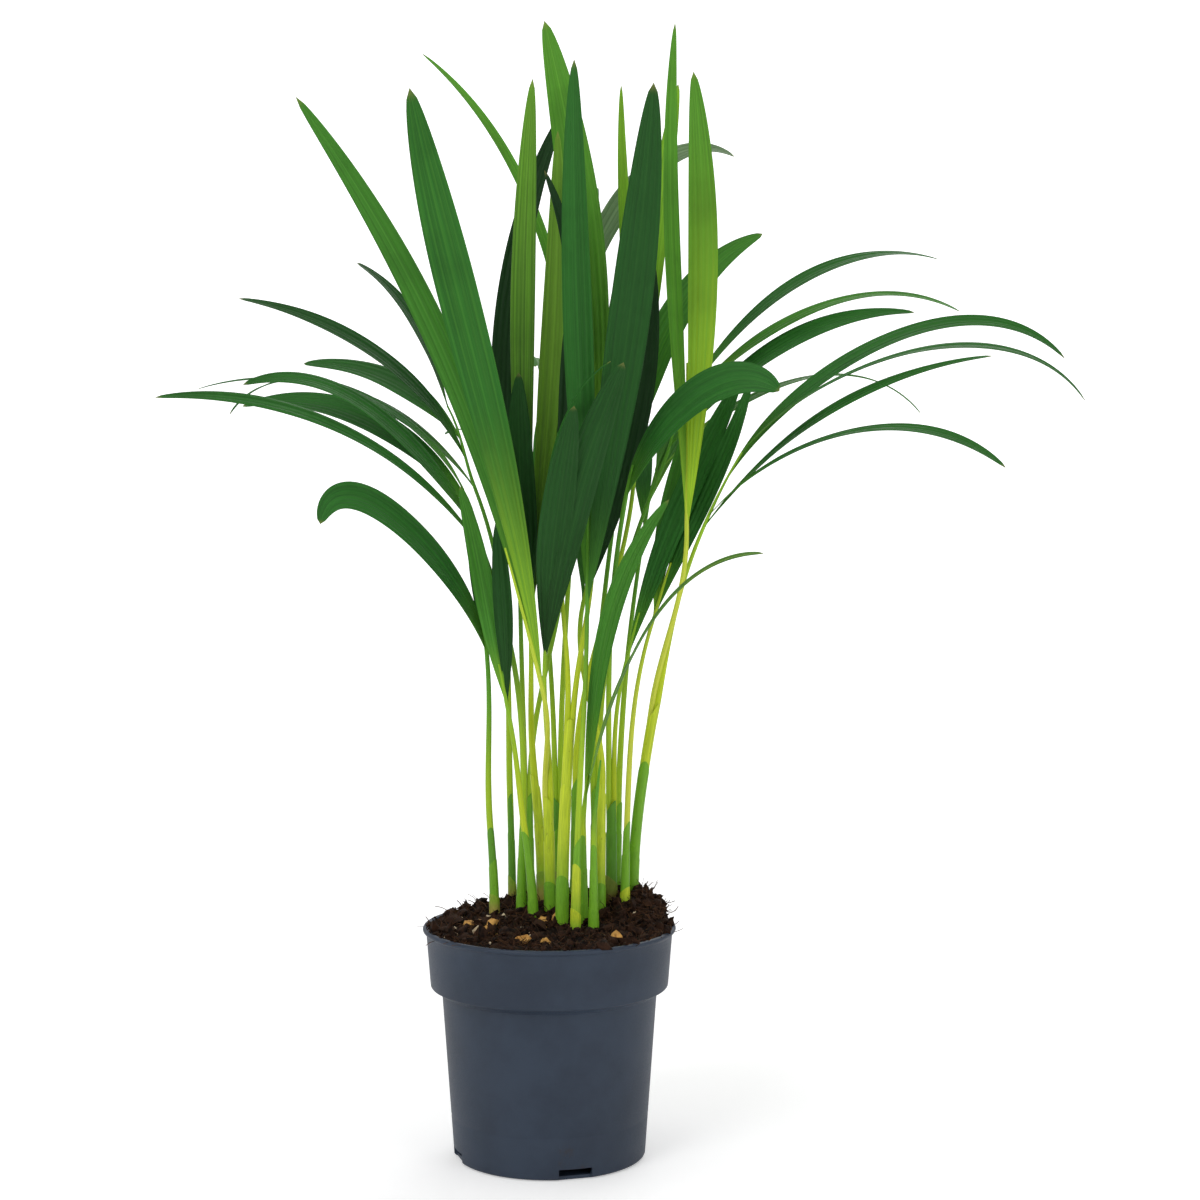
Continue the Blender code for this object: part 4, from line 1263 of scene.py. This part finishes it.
# %% Soil materials
def earth_material(name, tint, other_tint, scale, roughness):
    """A rough, mottled finish for soil and stones."""
    material, pen, shader = new_material(name)
    place = pen.node("ShaderNodeTexCoord").outputs["Object"]
    tone = pen.node("ShaderNodeGroup", node_tree=mottle)
    pen.tree.links.new(place, tone.inputs["Place"])
    tone.inputs["Scale"].default_value = scale
    tone.inputs["Colour"].default_value = colour(*tint)
    tone.inputs["Other Colour"].default_value = colour(*other_tint)
    grain = pen.noise(place, scale * 3, 4.0, 0.7)
    relief = pen.node("ShaderNodeBump", {"Height": grain, "Strength": 0.7, "Distance": 0.0006})
    pen.tree.links.new(tone.outputs["Colour"], shader.inputs["Base Color"])
    pen.tree.links.new(pen.fit(grain, 0.2, 0.8, roughness - 0.1, roughness), shader.inputs["Roughness"])
    pen.tree.links.new(relief.outputs["Normal"], shader.inputs["Normal"])
    shader.inputs["Specular IOR Level"].default_value = 0.2
    return material


peat = earth_material("peat", (30, 18, 12), (8, 5, 4), 260.0, 0.95)
peat_crumb = earth_material("peat_crumb", (54, 33, 20), (11, 7, 5), 300.0, 0.95)
peat_fibre = earth_material("peat_fibre", (84, 56, 34), (30, 19, 12), 300.0, 0.9)
grit_gold = earth_material("grit_gold", (222, 170, 92), (158, 104, 46), 300.0, 0.7)
grit_pale = earth_material("grit_pale", (226, 208, 176), (176, 148, 108), 300.0, 0.75)
print("soil materials ready")

# %% Soil body
SOIL_SIDES = 240
SOIL_TOP_RINGS = 56
SOIL_GAP = WALL + CLEARANCE + 0.2
soil_edge = BAND_TOP_RADIUS - SOIL_GAP
TOP_SETTLED = 0.3
LOOSE_HEAP = (42, 20, 3.5, 13, 18)

side = [(FOOT_RADIUS - SOIL_GAP - 7, FLOOR + CLEARANCE), (FOOT_RADIUS - SOIL_GAP - 1, FLOOR + 4),
        (wall_radius(20) - SOIL_GAP, 20), (wall_radius(50) - SOIL_GAP, 50),
        (wall_radius(SHOULDER_Z) - SOIL_GAP, SHOULDER_Z), (band_radius(BAND_FOOT_Z) - SOIL_GAP - 0.4, BAND_FOOT_Z + 1)]
top = [(soil_edge - 0.2, SOIL_LEVEL - 4), (soil_edge, SOIL_LEVEL - 2)]
top += [(soil_edge * (1 - ring / SOIL_TOP_RINGS), SOIL_LEVEL) for ring in range(SOIL_TOP_RINGS)]
soil = turn_up("peat_body", SOIL_SIDES, side + top)


def peat_height(x, y):
    """Height of the finished peat at a place: the plain height, settled and roughened."""
    away = math.hypot(x, y) / soil_edge
    low_front = TOP_SETTLED * (1 - 0.45 * away * away)
    heaped = soil_height(x, y) - SOIL_LEVEL
    height = SOIL_LEVEL - low_front * math.exp(-heaped / 3) + heaped
    heap_x, heap_y, rise, spread_x, spread_y = LOOSE_HEAP
    height += rise * math.exp(-((x - heap_x) / spread_x) ** 2 - ((y - heap_y) / spread_y) ** 2)
    height += 1.9 * noise.noise(Vector((x, y, 3)) * 0.11)
    height += 1.7 * noise.noise(Vector((x, y, 9)) * 0.28)
    height += 1.1 * noise.noise(Vector((x, y, 17)) * 0.8)
    return height


for point in soil.data.vertices:
    if point.co.z > (SOIL_LEVEL - 0.5) * MM:
        x, y = point.co.x / MM, point.co.y / MM
        point.co.z = peat_height(x, y) * MM
        point.co.x += 0.5 * MM * noise.noise(Vector((x, y, 31)) * 0.7)
        point.co.y += 0.5 * MM * noise.noise(Vector((x, y, 47)) * 0.7)
soil.data.materials.clear()
soil.data.materials.append(peat)
smooth(soil, 70)
belongs(soil, "soil", "soil")

# %% Crumbs, fibres and grit
CRUMB_COUNT = 4200
FIBRE_COUNT = 1500
GRIT_COUNT = 46
CRUMB_REACH = 1.03


def scattered(name, start, places, material):
    """Many copies of a small start, each with its own place, size and turn, as one mesh."""
    points = np.array([point.co for point in start.data.vertices])
    faces = [tuple(face.vertices) for face in start.data.polygons]
    all_points, all_faces = [], []
    for matrix in places:
        base = len(all_points) * len(points)
        turned = points @ np.array(matrix.to_3x3()).T + np.array(matrix.translation)
        all_points.append(turned)
        all_faces.extend(tuple(base + corner for corner in face) for face in faces)
    mesh = bpy.data.meshes.new(name)
    mesh.from_pydata(np.concatenate(all_points).tolist(), [], all_faces)
    mesh.update()
    thing = bpy.data.objects.new(name, mesh)
    bpy.context.scene.collection.objects.link(thing)
    mesh.materials.append(material)
    smooth(thing, 70)
    return thing


def lump(name, subdivisions, roughness, seed):
    """A small uneven stone or crumb."""
    clear_selection()
    bpy.ops.mesh.primitive_ico_sphere_add(subdivisions=subdivisions, radius=1.0)
    thing = bpy.context.object
    thing.name = name
    for point in thing.data.vertices:
        point.co *= 1 + roughness * noise.noise(point.co * 1.3 + Vector((seed, 0, 0)))
    return thing


def random_turn(dice):
    """A turn about a random axis."""
    axis = Vector((dice.gauss(0, 1), dice.gauss(0, 1), dice.gauss(0, 1))).normalized()
    return Matrix.Rotation(dice.uniform(0, 6.28), 4, axis)


LIP_INSIDE = RIM_RADIUS - LIP_WIDTH


def resting_height(x, y):
    """Where a crumb rests: on the peat, or on the pot's lip outside it."""
    return peat_height(x, y) if math.hypot(x, y) < LIP_INSIDE else POT_HEIGHT


def on_soil(dice, reach=1.0):
    """A random place on the soil."""
    away = math.sqrt(dice.random()) * soil_edge * reach
    turn = dice.uniform(0, 2 * math.pi)
    return away * math.cos(turn), away * math.sin(turn)


def heap_bias(dice):
    """A random place on the soil, more often on the heap at the back right."""
    if dice.random() < 0.3:
        heap_x, heap_y, _, spread_x, spread_y = SOIL_HEAPS[dice.randrange(len(SOIL_HEAPS))]
        x, y = dice.gauss(heap_x, spread_x), dice.gauss(heap_y, spread_y)
        if math.hypot(x, y) < soil_edge:
            return x, y
    return on_soil(dice, CRUMB_REACH)


dice = random.Random(7)
crumb = lump("crumb_start", 1, 0.9, 2.0)
crumb_places = []
for _ in range(CRUMB_COUNT):
    x, y = heap_bias(dice)
    size = min(4.6, 0.35 + dice.expovariate(1 / 0.7)) * MM
    stretch = Matrix.Diagonal((size, size * dice.uniform(0.6, 1), size * dice.uniform(0.5, 0.9), 1))
    lift = Matrix.Translation(Vector((x, y, resting_height(x, y) + size / MM * 0.3)) * MM)
    crumb_places.append(lift @ random_turn(dice) @ stretch)
belongs(scattered("peat_crumbs", crumb, crumb_places, peat_crumb), "soil", "soil")
bpy.data.objects.remove(crumb)

fibre = extruded_ring("fibre_start", 4, 5)
for point in fibre.data.vertices:
    point.co.x += 5.0 * math.sin(point.co.z * 2.6)
fibre_places = []
for _ in range(FIBRE_COUNT):
    x, y = heap_bias(dice)
    length = dice.uniform(2.0, 8.5) * MM
    width = dice.uniform(0.07, 0.2) * MM
    lean = Matrix.Rotation(math.radians(dice.gauss(74, 20)), 4, way(dice.uniform(0, 360), 0))
    lift = Matrix.Translation(Vector((x, y, peat_height(x, y) + 0.5)) * MM)
    fibre_places.append(lift @ lean @ Matrix.Diagonal((width, width, length, 1)))
belongs(scattered("peat_fibres", fibre, fibre_places, peat_fibre), "soil", "soil")
bpy.data.objects.remove(fibre)

# Grit that stands out in the photo: x, y, size, gold or pale.
SEEN_GRIT = [
    (-38, 1, 6.4, "gold"), (-33, 6, 5.4, "gold"), (-28, -3, 6.2, "gold"), (-34, -12, 5.4, "pale"),
    (-31, -22, 5.4, "gold"), (-12, -30, 6.2, "gold"), (-1, -37, 4.6, "gold"), (3, -46, 3.8, "pale"),
    (31, -28, 6.4, "gold"), (-3, 4, 5.0, "gold"), (3, 5, 5.4, "gold"), (-46, -4, 4.0, "pale"),
    (-44, -16, 3.6, "pale"), (-13, -6, 2.6, "pale"),
]
stone = lump("grit_start", 2, 0.75, 5.0)
grit_places = {"gold": [], "pale": []}
for x, y, size, kind in SEEN_GRIT:
    stretch = Matrix.Diagonal((size / 1.7 * MM, size / 2.1 * MM, size / 2.5 * MM, 1))
    lift = Matrix.Translation(Vector((x, y, peat_height(x, y) + size * 0.22)) * MM)
    grit_places[kind].append(lift @ random_turn(dice) @ stretch)
for _ in range(GRIT_COUNT):
    x, y = on_soil(dice, 0.95)
    size = dice.uniform(0.6, 1.9) if y < 0 else dice.uniform(0.6, 3.0)
    stretch = Matrix.Diagonal((size / 2 * MM, size / 2.4 * MM, size / 3 * MM, 1))
    lift = Matrix.Translation(Vector((x, y, peat_height(x, y) + size * 0.2)) * MM)
    grit_places[dice.choice(["gold", "pale"])].append(lift @ random_turn(dice) @ stretch)
belongs(scattered("grit_gold", stone, grit_places["gold"], grit_gold), "soil", "soil")
belongs(scattered("grit_pale", stone, grit_places["pale"], grit_pale), "soil", "soil")
bpy.data.objects.remove(stone)

# %% [markdown]
# ## Finishing
#
# The starts have done their work and are removed. The floor gets a pale finish that glows
# though it is no lamp: painted light that the camera sees dimmer near the pot and brighter
# far out, and a faint part of which lights the plant. The dressed model's box is printed.

# %% Floor glow, clearing up and the dressed box
# The glow that the camera sees near the pot and at the wall, and the one that lights the plant.
GLOW_FROM = 0.3
NEAR_GLOW = (0.35, 0.35, 0.35, 1.0)
FAR_GLOW = (0.9, 0.9, 0.9, 1.0)
LIT_GLOW = (0.12, 0.12, 0.12, 1.0)

floor_glow_paint, pen, shader = new_material("studio_white_glow")
place = pen.node("ShaderNodeTexCoord").outputs["Object"]
shade = pen.blend(pen.noise(place, 3.0, 2.0, 0.5), colour(240, 240, 240), colour(246, 246, 246))
distance = pen.node("ShaderNodeVectorMath", {0: place}, operation="LENGTH").outputs["Value"]
far = pen.fit(distance, GLOW_FROM, FLOOR_RADIUS)
seen = pen.node("ShaderNodeLightPath").outputs["Is Camera Ray"]
# The floor glows though it is no lamp: painted light, dimmer near the pot for the camera so that the pot's own shadow
# still shows.
strength = pen.blend(seen, LIT_GLOW, pen.blend(far, NEAR_GLOW, FAR_GLOW))
pen.tree.links.new(shade, shader.inputs["Base Color"])
pen.tree.links.new(strength, shader.inputs["Emission Color"])
shader.inputs["Emission Strength"].default_value = 1.0
floor_glow_paint.cycles.emission_sampling = "NONE"
shader.inputs["Roughness"].default_value = 0.9
shader.inputs["Specular IOR Level"].default_value = 0.1
floor.data.materials.append(floor_glow_paint)

for start in (blade_start, limb_start, sheath_start):
    bpy.data.objects.remove(start)
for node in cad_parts.values():
    if not node.hide_render:
        print("a plain node still shows:", node.name)

low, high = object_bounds()
print("triangles in all:", sum(triangles(thing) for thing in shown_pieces()))
print("dressed box:", [round(value, 4) for value in (*low, *high)])
